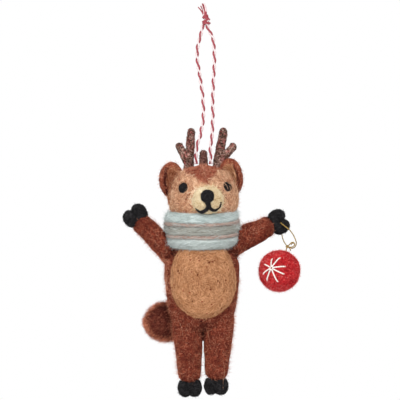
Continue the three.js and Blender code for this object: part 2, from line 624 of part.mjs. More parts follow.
// Muzzle, nose and mouth
const faceFront = HEAD_Y - HEAD_DEPTH / 2 - maskSkin;
const muzzleY = faceFront - MUZZLE_STANDOUT + MUZZLE_DEPTH / 2;
function muzzleForm(grow = 0) {
  const sizes = [MUZZLE_WIDTH, MUZZLE_DEPTH, MUZZLE_HEIGHT].map((size) => size + 2 * grow);
  return ellipsoid(...sizes, 16, 10).translate(MUZZLE_X, muzzleY, MUZZLE_LEVEL);
}
piece(figure, "muzzle", cut(muzzleForm(), overMask, insideScarf), CREAM_FELT);

// A point on the muzzle's skin, from its middle.
function onMuzzle([x, z]) {
  const out = ellipsoidRise(x, z, MUZZLE_WIDTH, MUZZLE_HEIGHT, MUZZLE_DEPTH);
  return [MUZZLE_X + x, muzzleY - out, MUZZLE_LEVEL + z];
}
const noseY = onMuzzle([0, NOSE_LEVEL - MUZZLE_LEVEL])[1] + NOSE_SINK;
function noseForm(grow = 0) {
  const form = ellipsoid(NOSE_WIDTH + 2 * grow, NOSE_DEPTH + 2 * grow, NOSE_HEIGHT + 2 * grow);
  return form.translate(MUZZLE_X, noseY, NOSE_LEVEL);
}
piece(figure, "nose", cut(noseForm(), muzzleForm(SEAT_GAP)), BLACK_FELT);

const lipCleft = MOUTH_LEFT[0];
const philtrum = [[lipCleft[0], NOSE_LEVEL - MUZZLE_LEVEL], [lipCleft[0], lipCleft[1] / 2], lipCleft];
const mouthLines = [MOUTH_LEFT, MOUTH_RIGHT, philtrum].map((route) => {
  return tube(curveThrough(route.map(onMuzzle)), MOUTH_LINE / 2, 6, 5);
});
const mouthMiddle = ellipsoid(MOUTH_LINE, MOUTH_LINE, MOUTH_LINE, 6, 6).translate(...onMuzzle(lipCleft));
const mouthForm = join(mouthMiddle, ...mouthLines);
const mouth = cut(mouthForm, muzzleForm(SEAT_GAP), noseForm(SEAT_GAP), overMask, insideScarf);
piece(figure, "mouth_stitch", mouth, BLACK_FELT);

// Eyes
function eye([x, level], side) {
  const back = ellipsoidRise(x - HEAD_X, level - HEAD_LEVEL, HEAD_WIDTH, HEAD_HEIGHT, HEAD_DEPTH);
  const form = ellipsoid(EYE_WIDTH, EYE_DEPTH, EYE_HEIGHT);
  form.rotateY(degrees(side * EYE_TILT));
  form.rotateZ(Math.asin((x - HEAD_X) / (HEAD_WIDTH / 2)));
  form.translate(x, HEAD_Y - back - maskSkin, level);
  return cut(form, overMask);
}
piece(figure, "eye_left", eye(EYE_LEFT, -1), BLACK_FELT);
piece(figure, "eye_right", eye(EYE_RIGHT, 1), BLACK_FELT);

// Limbs: a frame whose Z runs out along the limb, with its X in the figure's front plane
function limbPlace(root, direction) {
  const out = direction.clone().normalize();
  const front = new THREE.Vector3(0, 1, 0);
  const across = new THREE.Vector3().crossVectors(front, out).normalize();
  const depth = new THREE.Vector3().crossVectors(out, across);
  return new THREE.Matrix4().makeBasis(across, depth, out).setPosition(root);
}

// Two toes side by side on one heel, beyond the limb's end at 0.
function hoofForm({ length, width, depth, spread, overlap }) {
  const toes = [-1, 1].map((side) => {
    return ellipsoid(width, depth, length).translate(side * spread / 2, 0, length / 2 - overlap);
  });
  const heelLength = length * HEEL_LENGTH;
  const heel = ellipsoid(spread + width * HEEL_WIDTH, depth * HEEL_DEPTH, heelLength, 10, 6);
  return join(...toes, heel.translate(0, 0, heelLength / 2 - overlap));
}

function armPlace(side, { inset, level, angle }) {
  const root = new THREE.Vector3(TORSO_X + side * (CHEST_WIDTH / 2 - inset), 0, level);
  const flat = Math.cos(degrees(ARM_FORWARD));
  const direction = new THREE.Vector3(
    side * flat * Math.cos(degrees(angle)),
    -Math.sin(degrees(ARM_FORWARD)),
    flat * Math.sin(degrees(angle)),
  );
  return limbPlace(root, direction);
}

function legPlace(side, length) {
  const root = new THREE.Vector3(LEG_MIDDLE_X + side * LEG_HIP_SPACING / 2, 0, LEG_ROOT_LEVEL);
  const inward = (LEG_HIP_SPACING - LEG_ANKLE_SPACING) / 2;
  return limbPlace(root, new THREE.Vector3(-side * inward, 0, -length));
}

// The space on the other leg's side of the middle, which keeps the two legs apart.
function otherLegSide(side, length) {
  const half = new THREE.BoxGeometry(CHEST_WIDTH, 2 * TORSO_DEPTH, 4 * length);
  return half.translate(LEG_MIDDLE_X - side * (CHEST_WIDTH - SEAT_GAP) / 2, 0, LEG_ROOT_LEVEL - length);
}

function limbAndHoof({ name, hoofName, place, length, radii, toe, cutters, hoofCutters }) {
  const form = (grow) => limb(length, radii, LIMB_ROUNDING, grow).applyMatrix4(place);
  const atEnd = place.clone().multiply(new THREE.Matrix4().makeTranslation(0, 0, length));
  const hoof = hoofForm(toe).applyMatrix4(atEnd);
  piece(figure, name, cut(form(0), ...cutters), BROWN_FELT);
  piece(figure, hoofName, cut(hoof, form(SEAT_GAP), ...hoofCutters), BLACK_FELT);
  return { form, atEnd };
}

const torsoSpace = torsoForm(SEAT_GAP);
limbAndHoof({
  name: "arm_left", hoofName: "front_hoof_left", place: armPlace(-1, ARM_LEFT), length: ARM_LEFT.length,
  radii: ARM_LEFT.radii, toe: FRONT_TOE, cutters: [torsoSpace, insideScarf], hoofCutters: [],
});
const rightPlace = armPlace(1, ARM_RIGHT);
const rightWrist = rightPlace.clone().multiply(new THREE.Matrix4().makeTranslation(0, 0, ARM_RIGHT.length));
// The right arm's X axis points down, because its Z axis points to the right.
const threadHole = new THREE.Vector3(THREAD_HOLE_DOWN, 0, THREAD_HOLE_OUT).applyMatrix4(rightWrist);
const holeRadius = THREAD_RADIUS + THREAD_CLEARANCE;
const threadBore = new THREE.CylinderGeometry(holeRadius, holeRadius, 2 * FRONT_TOE.depth, 10);
limbAndHoof({
  name: "arm_right", hoofName: "front_hoof_right", place: rightPlace, length: ARM_RIGHT.length,
  radii: ARM_RIGHT.radii, toe: FRONT_TOE, cutters: [torsoSpace, insideScarf],
  hoofCutters: [threadBore.translate(...threadHole.toArray())],
});
const legSides = [["left", -1, LEG_LEFT_LENGTH], ["right", 1, LEG_RIGHT_LENGTH]];
const legs = legSides.map(([name, side, length]) => limbAndHoof({
  name: `leg_${name}`, hoofName: `hind_hoof_${name}`, place: legPlace(side, length), length,
  radii: LEG_RADII, toe: HIND_TOE, cutters: [torsoSpace, otherLegSide(side, length)],
  hoofCutters: [otherLegSide(side, length)],
}));

// Tail
const tailDirection = new THREE.Vector3(-1, 0, 0)
  .applyAxisAngle(new THREE.Vector3(0, 1, 0), -degrees(TAIL_DROOP))
  .applyAxisAngle(new THREE.Vector3(0, 0, 1), -degrees(TAIL_TURN));
const tailRoot = new THREE.Vector3(TORSO_X - TAIL_ROOT_IN, TAIL_ROOT_BACK, TAIL_LEVEL);
const tailPlace = limbPlace(tailRoot, tailDirection);
const tail = limb(TAIL_LENGTH, TAIL_RADII, TAIL_ROUNDING).applyMatrix4(tailPlace);
piece(figure, "tail", cut(tail, torsoSpace, ...legs.map((leg) => leg.form(SEAT_GAP))), BROWN_FELT);

// Gold thread: a loop through the hoof's hole, closed by a small bow
const threadGroup = new THREE.Group();
threadGroup.position.copy(threadHole);
figure.add(threadGroup);
piece(threadGroup, "gold_thread_loop", tube(curveThrough(THREAD_LOOP), THREAD_RADIUS, 36, 6), GOLD_THREAD);
const bow = join(
  ellipsoid(BOW_KNOT_DIAMETER, BOW_KNOT_DIAMETER, BOW_KNOT_DIAMETER, 8, 6),
  tube(curveThrough(BOW_CURL), THREAD_RADIUS, 6, 5),
  tube(curveThrough(BOW_TAIL), THREAD_RADIUS, 4, 5),
);
piece(threadGroup, "gold_thread_bow", bow, GOLD_THREAD).position.set(BOW_X, 0, BOW_Z);

// Ball: hung below the bow on a stub of the thread that runs into its top
const ballGroup = new THREE.Group();
ballGroup.position.set(BOW_X, 0, BOW_Z);
ballGroup.rotation.y = degrees(BALL_LEAN);
threadGroup.add(ballGroup);

const stubTop = BOW_KNOT_DIAMETER / 2 + SEAT_GAP;
const stubLength = STUB_LENGTH + STUB_SINK - stubTop;
const stub = new THREE.CylinderGeometry(THREAD_RADIUS, THREAD_RADIUS, stubLength, 8).rotateX(Math.PI / 2);
piece(ballGroup, "gold_thread_stub", stub, GOLD_THREAD).position.z = -stubTop - stubLength / 2;

const ballDrop = STUB_LENGTH + BALL_RADIUS;
const pocketDepth = STUB_SINK + THREAD_CLEARANCE;
const pocket = new THREE.CylinderGeometry(holeRadius, holeRadius, 2 * pocketDepth, 10).rotateX(Math.PI / 2);
const wholeBall = ellipsoid(BALL_DIAMETER, BALL_DIAMETER, BALL_DIAMETER, 20, 12);
const ball = cut(wholeBall, pocket.translate(0, 0, BALL_RADIUS));
piece(ballGroup, "felt_ball", ball, BALL_FELT).position.z = -ballDrop;

// Snowflake: stitched spokes that lie on the ball and cross at their middle
class SpokeCurve extends THREE.Curve {
  constructor(roll) {
    super();
    this.roll = roll;
  }

  getPoint(share, target = new THREE.Vector3()) {
    const radius = BALL_RADIUS + SEAT_GAP + SPOKE_DIAMETER / 2;
    const angle = (share * (SPOKE_LENGTH + SPOKE_DIAMETER / 2) - SPOKE_DIAMETER / 2) / BALL_RADIUS;
    const across = radius * Math.sin(angle);
    const front = -radius * Math.cos(angle);
    return target.set(across * Math.cos(this.roll), front, across * Math.sin(this.roll));
  }
}
const spokes = [];
for (let spoke = 0; spoke < SNOWFLAKE_SPOKES; spoke += 1) {
  const roll = degrees(SNOWFLAKE_ROLL) + 2 * Math.PI * spoke / SNOWFLAKE_SPOKES;
  spokes.push(tube(new SpokeCurve(roll), SPOKE_DIAMETER / 2, 4, 5));
}
const snowflake = piece(ballGroup, "snowflake_stitch", join(...spokes), WHITE_YARN);
snowflake.position.z = -ballDrop;
snowflake.rotation.set(degrees(SNOWFLAKE_LIFT), 0, degrees(SNOWFLAKE_TURN), "ZXY");

export default ornament;
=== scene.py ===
"""The looks of a needle-felted reindeer ornament: wool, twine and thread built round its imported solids.

Metres, +Z up, and the figure faces -Y. Sizes are written in millimetres and multiplied by MM.
Left and right are as seen from the front.
"""
import math
from dataclasses import dataclass

import bmesh
import bpy
import numpy as np
from mathutils import Matrix, Vector, noise
from mathutils.bvhtree import BVHTree


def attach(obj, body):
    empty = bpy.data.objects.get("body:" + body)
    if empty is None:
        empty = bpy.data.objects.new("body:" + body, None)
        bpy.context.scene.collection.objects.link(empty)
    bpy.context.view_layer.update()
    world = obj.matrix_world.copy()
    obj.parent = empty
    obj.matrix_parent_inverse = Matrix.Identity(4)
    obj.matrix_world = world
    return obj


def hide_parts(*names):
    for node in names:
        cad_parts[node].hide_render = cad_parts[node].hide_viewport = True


MM = 0.001
UP = Vector((0, 0, 1))
BACK = Vector((0, 1, 0))

# Picture: the camera looks straight at the front through a long lens
FRAME_WIDTH = 200 * MM
FRAME_X = -2 * MM
FRAME_Z = -86.5 * MM
CAMERA_DISTANCE = 2.0
CAMERA_RANGE = 20
SENSOR_WIDTH = 36

# Light and floor, in metres and watts: the place, width and power of each lamp
LAMPS = {
    "key": ((0.4, -1.1, 0.7), 0.8, 11.5),
    "fill": ((-0.9, -0.9, 0.1), 0.9, 6.5),
    "back": ((-0.3, 0.9, 0.7), 0.7, 6.0),
}
AMBIENT_LIGHT = 0.55
FLOOR_RADIUS = 0.42
FLOOR_LEVEL = -0.235
FLOOR_GREY = 0.86

# Twine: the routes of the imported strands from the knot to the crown, as x and z
TWINE_DIAMETER = 1.8
TWINE_PITCH = 6.9
LOOP_DROP = 68.43
LEFT_STRAND = [
    (0.5, 2.4), (-0.6, 0.4), (-1.2, -2.2), (-2.1, -5.5), (-3.1, -9.5), (-3.45, -13.5), (-3.2, -17.5),
    (-2.4, -22.5), (-1.65, -27.5), (-0.9, -32.5), (-0.45, -37.5), (-0.3, -42.5), (-0.55, -47.5),
    (-1.4, -51.5), (-1.9, -54.5), (-3.1, -58), (-3.8, -61.5), (-4, -64.5), (-4, -LOOP_DROP),
]
RIGHT_STRAND = [
    (1.1, 2.4), (1.6, 0.4), (2.8, -2.3), (4.3, -5.2), (4.9, -9.5), (5.15, -13.5), (5.2, -17.5),
    (4.95, -22.5), (4.65, -27.5), (4.5, -32.5), (4.3, -37.5), (4.45, -42.5), (4.3, -47.5),
    (4.15, -52.5), (3.75, -56.5), (3.2, -60), (3.2, -63.5), (3.4, -LOOP_DROP),
]
STITCH = [
    (-4, 0, -69.7), (-3.6, 0, -73.3), (-2.1, 0, -76.8), (-0.3, 0, -78.3),
    (1.5, 0, -76.8), (3, 0, -73.3), (3.4, 0, -69.7),
]
# Where the plies of a cord run and how thick they are, as shares of its diameter
PLY_OFFSET = 0.275
PLY_RADIUS = 0.255

# Knot: turns of twine round its core, as the tilt in degrees, the height from the middle and the phase
KNOT_CENTRE = (1.1, 0, 3.6)
KNOT_TURNS = [(32, 0.7, 2.5), (-34, -0.5, 1.2), (12, -1.6, 2.6)]
KNOT_RADIUS = 1.4
KNOT_TWINE = 1.8
KNOT_PITCH = 13
KNOT_CORE_BOTTOM = -2.2
KNOT_CORE_TOP = 2.4
KNOT_CORE_DIAMETER = 2.2
KNOT_CORE_PITCH = 6

# Frayed tails: loose yarns, as x and z of the far end from the root, radius, and 0 for red or 1 for white
FRAY_ROOT = (0.5, 0, 5.4)
LEFT_FRAY = [(-3.5, 4.6, 0.42, 0), (-3, 4.2, 0.4, 1), (-2.2, 5.2, 0.45, 0), (-1.9, 5.6, 0.3, 1)]
RIGHT_FRAY = [(-1.3, 6.4, 0.7, 0), (-0.8, 5.8, 0.75, 0), (-0.4, 6.5, 0.45, 1), (0.2, 5.6, 0.4, 1)]
FRAY_ROOT_ASIDE = 0.3
FRAY_ROOT_SPREAD = 0.35
FRAY_ROOT_DEPTH = 0.6
FRAY_END_SPREAD = 0.8
FRAY_ARCH = (0.4, 0, 0.2)
FRAY_TAPER = 0.5

# Gold thread: the places that it joins, and its routes from the hole in the hoof or from the bow
HOLE = (38.178, -1.354, -97.909)
BOW = (41.578, -1.354, -109.759)
BALL = (37.665, -1.354, -121.947)
THREAD_DIAMETER = 0.6
THREAD_PITCH = 1.6
THREAD_LOOP = [
    (2.9, 0.8, -11.1), (1.6, 2.9, -9), (0.75, 4.5, -5.6), (0.4, 4.9, -2.4), (0.15, 4.6, -0.6),
    (0, 3.6, 0), (0, 1.2, 0), (0, -1.2, 0), (0, -3.6, 0), (0.35, -4.7, -0.25), (1.4, -5, -1.1),
    (4.25, -4.9, -3.3), (6.2, -4.4, -5.8), (7.4, -3.5, -8.3), (7.9, -2.4, -10.4),
    (6.9, -1.4, -12.3), (5.6, -0.9, -12.7), (4.6, -0.55, -12.25),
]
BOW_CURL = [(0, 0, 0), (1, 0.3, 0.9), (2.2, 0.3, 2), (3.3, 0, 2), (3.7, -0.5, 1.2)]
BOW_SECOND_CURL = [
    (0, 0, 0), (1.6, -0.7, -0.3), (3.1, -0.9, 0.1), (3.7, -0.6, 1.3), (2.6, 0, 1.7), (1.9, 0.5, 0.9),
]
BOW_TAIL = [(0, 0, 0), (0.9, 0.1, -0.5), (1.5, 0.1, -1.3), (1.7, 0.1, -2.1)]
BOW_KNOT_TURNS = 2.2
BOW_KNOT_RADIUS = 0.55
BOW_KNOT_LENGTH = 1.1
STUB_DISTANCES = (0.4, 2.4, 4.2, 5.8)

# Ball and snowflake: stitches from one centre, as the angle from the right and the length of each
BALL_RADIUS = 10.55
SNOWFLAKE_SPOKES = [
    (10, 7.6), (55, 7.2), (100, 5.4), (155, 5.4), (207, 6.4), (248, 7.6), (292, 8.2), (332, 7.6),
]
SNOWFLAKE_TURN = 23.3
SNOWFLAKE_LIFT = 9
SPOKE_DIAMETER = 0.74
SPOKE_PITCH = 2.4
SPOKE_START = 0.07
SPOKE_BEND = 5
SPOKE_HEIGHT = 0.35
SPOKE_UNEVEN = 0.12
SPOKE_SINK = 0.9
SPOKE_SINKS_FROM = 0.8
# Where the ball's centre comes nearest to the arm, and how far loose wool keeps from it there
BALL_SWUNG_IN = [(30.3, -1.4, -120.6), (32.2, -11.9, -114.8), (32.2, 9.2, -114.8)]
BALL_CLEARANCE = 3.6

# Figure: the torso's axis and the line that levels are measured from
FIGURE_X = -0.9
FIGURE_Y = 0.6
FIGURE_TOP = -67.892
CROWN_TOP = -69.19
LEG_MIDDLE_X = -0.5

# Scarf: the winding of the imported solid
SCARF_TURNS = 3
SCARF_PITCH = 6.1
SCARF_TOP = -21.65
SCARF_Y = -0.6
SCARF_WIDTH = 37.6
SCARF_DEPTH = 36
SCARF_BULGE = 1.6
SCARF_DIP = 3.5
SCARF_CLIMB_AT_BACK = 0.75
ROVING_THICKNESS = 5
ROVING_HEIGHT = 5.9
YARN_DIAMETER = 1.4
YARN_OUT = 1.85
YARN_TURNS = 1.9
WINDING_LUMPS = 9
SECTION_LUMPS = 1.3
WINDING_END = 0.4

# Mouth: black wool lines laid on the muzzle, as x, z and thickness
MOUTH_LINES = [
    [
        (-4.1, -90.5, 1), (-3.1, -91.5, 1.5), (-1.7, -92.3, 1.9), (0, -92, 1.9), (1.4, -90.9, 1.9),
        (2.3, -89.4, 2),
    ],
    [
        (2.3, -89.4, 2), (3.5, -91.1, 1.7), (5.1, -91.6, 1.5), (6.8, -90.8, 1.3), (7.9, -89.4, 1.1),
        (8.3, -87.6, 0.8),
    ],
    [(1.7, -85.5, 3.6), (1.8, -87, 3), (2, -88.2, 2.6), (2.3, -89.6, 2.3)],
]
MOUTH_LIFT = 0.15
# How far in front of the figure the search for its surface starts
IN_FRONT = 100

# Stray fibres that show from the front: width, how many lie together, how far they stray, and x and z
PALE_FIBRES = [
    (0.13, 1, 0, [(9, -165), (10, -169), (10.2, -173), (9.5, -177.5), (9.6, -181)]),
    (0.1, 1, 0, [(1.2, -150), (2.6, -156), (3.4, -161)]),
    (0.08, 1, 0, [(-13, -146), (-11, -151), (-10.4, -157)]),
    (0.1, 1, 0, [(14.6, -117), (15.8, -122), (15.6, -127), (14.4, -132)]),
    (0.1, 1, 0, [(-18.8, -106), (-19.4, -110), (-18.2, -113)]),
    # Over the right eye
    (0.2, 1, 0, [(11.2, -78.9), (11.6, -80.1), (12, -81.3)]),
    (0.26, 7, 0.3, [(11.5, -77.3), (12.7, -78), (13.6, -79.2), (14, -80.4)]),
    (0.26, 6, 0.28, [(9.3, -79.5), (10, -81.3), (11.1, -82.7)]),
    (0.22, 2, 0.1, [(12.6, -79.4), (12.9, -80.4), (13.1, -81.5)]),
    (0.22, 2, 0.12, [(10.1, -78.1), (10.6, -78.6), (11, -79.2)]),
    (0.26, 4, 0.2, [(12.5, -82.3), (13.3, -81.9), (14, -81)]),
]
# Dark fibres along the ears' folds, in the same columns: painted shade in the creases
EAR_FOLD_SHADE_FIBRES = [
    (0.26, 11, 0.42, [(-18.6, -70.2), (-19, -72.5), (-19.3, -75), (-19.4, -77.5), (-19.2, -80)]),
    (0.4, 8, 0.35, [(-19, -80.8), (-18.6, -82.3), (-18.6, -83.9)]),
    (0.3, 4, 0.3, [(14.3, -69), (16.2, -72.5), (17, -76.5), (17.1, -80), (16.8, -83)]),
]
STRAY_LIFT = 0.35
STRAY_END = 0.4
STRAY_SEED = 100


@dataclass
class Felting:
    """How a solid turns into felt, in millimetres.

    voxel is the size of its faces, smoothing how often they are smoothed and swell how far it grows.
    lump and lump_size are the height and width of its lumps, and fine is the height of its small lumps.
    """
    voxel: float
    smoothing: int
    swell: float
    lump: float
    lump_size: float
    fine: float = 0.1


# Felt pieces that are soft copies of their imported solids
TUMMY_FELTING = Felting(voxel=0.5, smoothing=10, swell=0.4, lump=0.2, lump_size=4)
NOSE_FELTING = Felting(voxel=0.3, smoothing=6, swell=0.4, lump=0.12, lump_size=2)
EYE_FELTING = Felting(voxel=0.25, smoothing=5, swell=0.45, lump=0.1, lump_size=1.5)
EAR_FELTING = Felting(voxel=0.4, smoothing=6, swell=0.3, lump=0.2, lump_size=3)
LINING_FELTING = Felting(voxel=0.3, smoothing=4, swell=0.35, lump=0.1, lump_size=2)
ANTLER_FELTING = Felting(voxel=0.4, smoothing=5, swell=0.2, lump=0.25, lump_size=2.2)
HOOF_FELTING = Felting(voxel=0.4, smoothing=6, swell=0.3, lump=0.2, lump_size=2.5)
TAIL_FELTING = Felting(voxel=0.7, smoothing=12, swell=0.1, lump=0.5, lump_size=5)
BALL_FELTING = Felting(voxel=0.5, smoothing=8, swell=0.0, lump=0.2, lump_size=6)
FINE_LUMP_SIZE = 1.5

# Skins: neighbouring felt pieces grow together in one soft skin, which is then shared out among them
BODY_NODES = ["torso", "arm_left", "arm_right", "leg_left", "leg_right"]
BODY_GROWTH = 0.15
BODY_SKIN = Felting(voxel=0.5, smoothing=16, swell=0.1, lump=0.4, lump_size=5.5, fine=0.12)
LIMB_VOXEL = 0.7
LIMB_SMOOTHING = 3
ARM_END = 5
ARM_GROWTH = {"arm_left": 1.5, "arm_right": 0.5}
LEG_GAP = 1.6
LEG_PULL = 2
CROTCH_TOP = -150
CROTCH_BOTTOM = -165
HEAD_SLOTS = {"head": "rust_felt", "face_mask": "tan_felt", "muzzle": "cream_felt"}
HEAD_GROWTH = 0.85
MASK_GROWTH = 0.1
MUZZLE_GROWTH = 0.3
HEAD_SKIN = Felting(voxel=0.45, smoothing=20, swell=0.15, lump=0.2, lump_size=5, fine=0.12)
FACE_VOXEL = 0.45
FACE_SMOOTHING = 4
CROWN_GROWTH = 0.05
CROWN_RIM = 1
CROWN_FADE = 5
HAIRLINE_RAGGED = 0.5
HAIRLINE_WAVE = 1.6

# Tummy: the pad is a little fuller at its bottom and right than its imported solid
TUMMY_MIDDLE = -118
TUMMY_FADE = 24
TUMMY_HALF_WIDTH = 16
TUMMY_SAG = 1.1
TUMMY_LEAN = 1.3
TUMMY_LEAN_AT_TOP = 0.5
TUMMY_LEAN_BACK = 0.5

# Shifts: the hooves, eyes and nose sit a little off their packed places, as they do in the photo
SHIFTS = {
    "front_hoof_left_felt": (-0.3, 0, 0.9), "front_hoof_right_felt": (0.3, 0, 0),
    "hind_hoof_left_felt": (0, 0, -0.3), "hind_hoof_right_felt": (-0.1, 0, -0.6),
    "eye_left_felt": (0.35, 0, -0.3), "eye_right_felt": (-0.4, -0.1, -0.6), "nose_felt": (0, 0, -0.5),
}
LEFT_HOOF_TURN = 8
LEFT_HOOF_PIVOT = (-33, 0, -96)

# Strands of loose wool: between which shares of a layer's sizes they vary, and sizes that all layers share
STRAND_LENGTHS = (0.6, 1.3)
STRAND_LIFTS = (0.3, 1.7)
STRAND_WIDTHS = (0.7, 1.3)
STRAND_RIDGE = 0.8
CELL_MARGIN = 0.1
MOTTLE_SIZE = 3.5
COVER_DEPTH = 3
TWINE_SWEEP = 6

# Wool colours: the dark, middle and light shade of each
PALETTE = {
    "brown_felt": [(60, 19, 14), (114, 46, 33), (170, 86, 62)],
    "rust_felt": [(92, 36, 26), (142, 68, 51), (190, 115, 88)],
    "tan_felt": [(150, 92, 62), (212, 158, 122), (244, 208, 174)],
    "tummy_felt": [(110, 62, 36), (184, 128, 88), (224, 172, 130)],
    "cream_felt": [(186, 152, 108), (230, 207, 164), (248, 234, 204)],
    "black_felt": [(8, 8, 9), (23, 22, 23), (58, 56, 58)],
    "ear_felt": [(88, 34, 24), (136, 66, 48), (184, 108, 82)],
    "antler_felt": [(46, 28, 22), (122, 84, 70), (208, 174, 160)],
    "antler_shade": [(40, 22, 18), (106, 66, 58), (170, 126, 114)],
    "ear_lining_left": [(100, 50, 32), (152, 88, 60), (196, 138, 104)],
    "ear_lining_right": [(124, 72, 48), (184, 127, 90), (222, 172, 134)],
    "blue_roving": [(156, 169, 167), (188, 201, 197), (220, 230, 228)],
    "stripe_yarn": [(142, 112, 101), (184, 157, 145), (208, 188, 178)],
    "ball_felt": [(134, 10, 19), (197, 29, 39), (234, 80, 78)],
    "tail": [(54, 17, 14), (104, 40, 31), (224, 144, 110)],
    # The next palette darkens creases: painted shade under the arms and along the ears' folds
    "fold_shade": [(40, 13, 9), (74, 26, 18), (112, 50, 36)],
    "grey_roving": [(126, 124, 116), (155, 154, 145), (186, 187, 179)],
    "dim_roving": [(150, 160, 157), (179, 188, 184), (208, 216, 213)],
    "pale_roving": [(186, 198, 196), (208, 219, 217), (236, 243, 243)],
    # The fuzz palettes are lighter than the felts: painted glow where loose fibres catch the light at the
    # outlines
    "brown_fuzz": [(120, 56, 40), (176, 98, 72), (232, 164, 132)],
    "rust_fuzz": [(136, 72, 52), (194, 122, 94), (240, 184, 154)],
    "red_fuzz": [(176, 42, 47), (208, 76, 78), (244, 154, 148)],
    "antler_rose": [(86, 32, 32), (146, 70, 68), (196, 132, 124)],
}
WHITE_LIGHT = (1, 1, 1, 1)
SPECULAR = 0.15
SHEEN_ROUGHNESS = 0.6
FELT_SHEEN = 0.2
FELT_MOTTLING = 4.5
FELT_CLUMPS = 1.4
FELT_FIBRES = 0.55
FELT_RELIEF = 0.45

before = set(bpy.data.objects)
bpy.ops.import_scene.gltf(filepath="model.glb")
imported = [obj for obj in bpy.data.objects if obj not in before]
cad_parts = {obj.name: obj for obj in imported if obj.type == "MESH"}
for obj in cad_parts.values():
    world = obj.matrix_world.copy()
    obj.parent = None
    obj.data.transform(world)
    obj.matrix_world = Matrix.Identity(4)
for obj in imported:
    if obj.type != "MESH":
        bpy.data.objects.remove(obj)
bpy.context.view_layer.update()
scene = bpy.context.scene


def new_piece(name, mesh):
    piece = bpy.data.objects.new(name, mesh)
    scene.collection.objects.link(piece)
    return piece


def place(piece, body, slot, *nodes):
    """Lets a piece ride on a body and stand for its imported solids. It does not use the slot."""
    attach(piece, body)
    if nodes:
        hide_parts(*nodes)
    return piece


def clamped(share):
    return min(max(share, 0.0), 1.0)


def linear(red, green, blue):
    """A colour written as it looks on a screen, from 0 to 255."""
    def channel(value):
        share = value / 255
        return share / 12.92 if share <= 0.04045 else ((share + 0.055) / 1.055) ** 2.4
    return (channel(red), channel(green), channel(blue), 1)


# Materials
def add_node(tree, kind, output, **inputs):
    """One output of a new shader node, whose inputs are values or other nodes' outputs."""
    node = tree.nodes.new("ShaderNode" + kind)
    for name, value in inputs.items():
        if isinstance(value, bpy.types.NodeSocket):
            tree.links.new(value, node.inputs[name])
        else:
            node.inputs[name].default_value = value
    return node.outputs[output]


def blank_material(name, roughness=0.95, sheen=0.0, metallic=0.0, tint=WHITE_LIGHT):
    material = bpy.data.materials.new(name)
    material.use_nodes = True
    shader = material.node_tree.nodes["Principled BSDF"]
    shader.inputs["Roughness"].default_value = roughness
    shader.inputs["Metallic"].default_value = metallic
    shader.inputs["Specular IOR Level"].default_value = SPECULAR
    shader.inputs["Sheen Weight"].default_value = sheen
    shader.inputs["Sheen Roughness"].default_value = SHEEN_ROUGHNESS
    shader.inputs["Sheen Tint"].default_value = tint
    return material, material.node_tree, shader


def noise_node(tree, size, detail=3.0, distortion=0.0):
    """Noise whose features are about this many millimetres wide."""
    position = add_node(tree, "TexCoord", "Object")
    return add_node(
        tree, "TexNoise", "Fac", Vector=position, Scale=1 / (size * MM), Detail=detail, Distortion=distortion,
    )


def add_colour(tree, shader, factor, stops):
    """Colours a surface by a ramp, whose stops are positions and shades."""
    node = tree.nodes.new("ShaderNodeValToRGB")
    elements = node.color_ramp.elements
    for index, (position, shade) in enumerate(stops):
        element = elements[index] if index < 2 else elements.new(position)
        element.position = position
        element.color = linear(*shade)
    tree.links.new(factor, node.inputs["Fac"])
    tree.links.new(node.outputs["Color"], shader.inputs["Base Color"])


def add_bump(tree, shader, height, depth):
    normal = add_node(tree, "Bump", "Normal", Strength=1.0, Distance=depth * MM, Height=height)
    tree.links.new(normal, shader.inputs["Normal"])


def felt(name, dark, base, light):
    """Matted wool: broad mottling, clumps, fine curling fibres and a shallow fibrous relief."""
    material, tree, shader = blank_material(name, sheen=FELT_SHEEN, tint=linear(*light))
    broad = noise_node(tree, FELT_MOTTLING)
    clumps = noise_node(tree, FELT_CLUMPS, distortion=1.5)
    fibres = noise_node(tree, FELT_FIBRES, distortion=3)
    uneven = add_node(tree, "Mix", "Result", Factor=0.75, A=broad, B=clumps)
    tone = add_node(tree, "Mix", "Result", Factor=0.6, A=uneven, B=fibres)
    add_colour(tree, shader, tone, [(0.4, dark), (0.62, light), (0.5, base)])
    add_bump(tree, shader, fibres, FELT_RELIEF)
    return material


def strand_wool(name, dark, base, light):
    """Loose wool: each strand has its own shade."""
    material, tree, shader = blank_material(name, sheen=FELT_SHEEN, tint=linear(*light))
    shade = tree.nodes.new("ShaderNodeAttribute")
    shade.attribute_name = "shade"
    add_colour(tree, shader, shade.outputs["Fac"], [(0.0, dark), (1.0, light), (0.5, base)])
    return material


def cotton(name, colour, pale):
    """Spun cotton: two close shades in short streaks."""
    material, tree, shader = blank_material(name, roughness=0.85, sheen=0.1)
    streaks = noise_node(tree, 0.5, detail=4, distortion=1)
    add_colour(tree, shader, streaks, [(0.3, colour), (0.7, pale)])
    add_bump(tree, shader, streaks, 0.15)
    return material


def metallic_thread(name, dark, light):
    material, tree, shader = blank_material(name, roughness=0.38, metallic=0.7)
    add_colour(tree, shader, noise_node(tree, 0.6), [(0.35, dark), (0.65, light)])
    return material


FELTS = {name: felt(name, *shades) for name, shades in PALETTE.items()}
WOOLS = {name: strand_wool(name + "_strands", *shades) for name, shades in PALETTE.items()}
RED_COTTON = cotton("red_cotton", (142, 44, 55), (182, 90, 98))
# The white ply is a greyish pink: painted shade on white twine
WHITE_COTTON = cotton("white_cotton", (224, 198, 198), (247, 232, 232))
SNOW_COTTON = cotton("snow_cotton", (250, 238, 230), (255, 251, 246))
GOLD = metallic_thread("gold_thread", (112, 88, 40), (206, 174, 102))


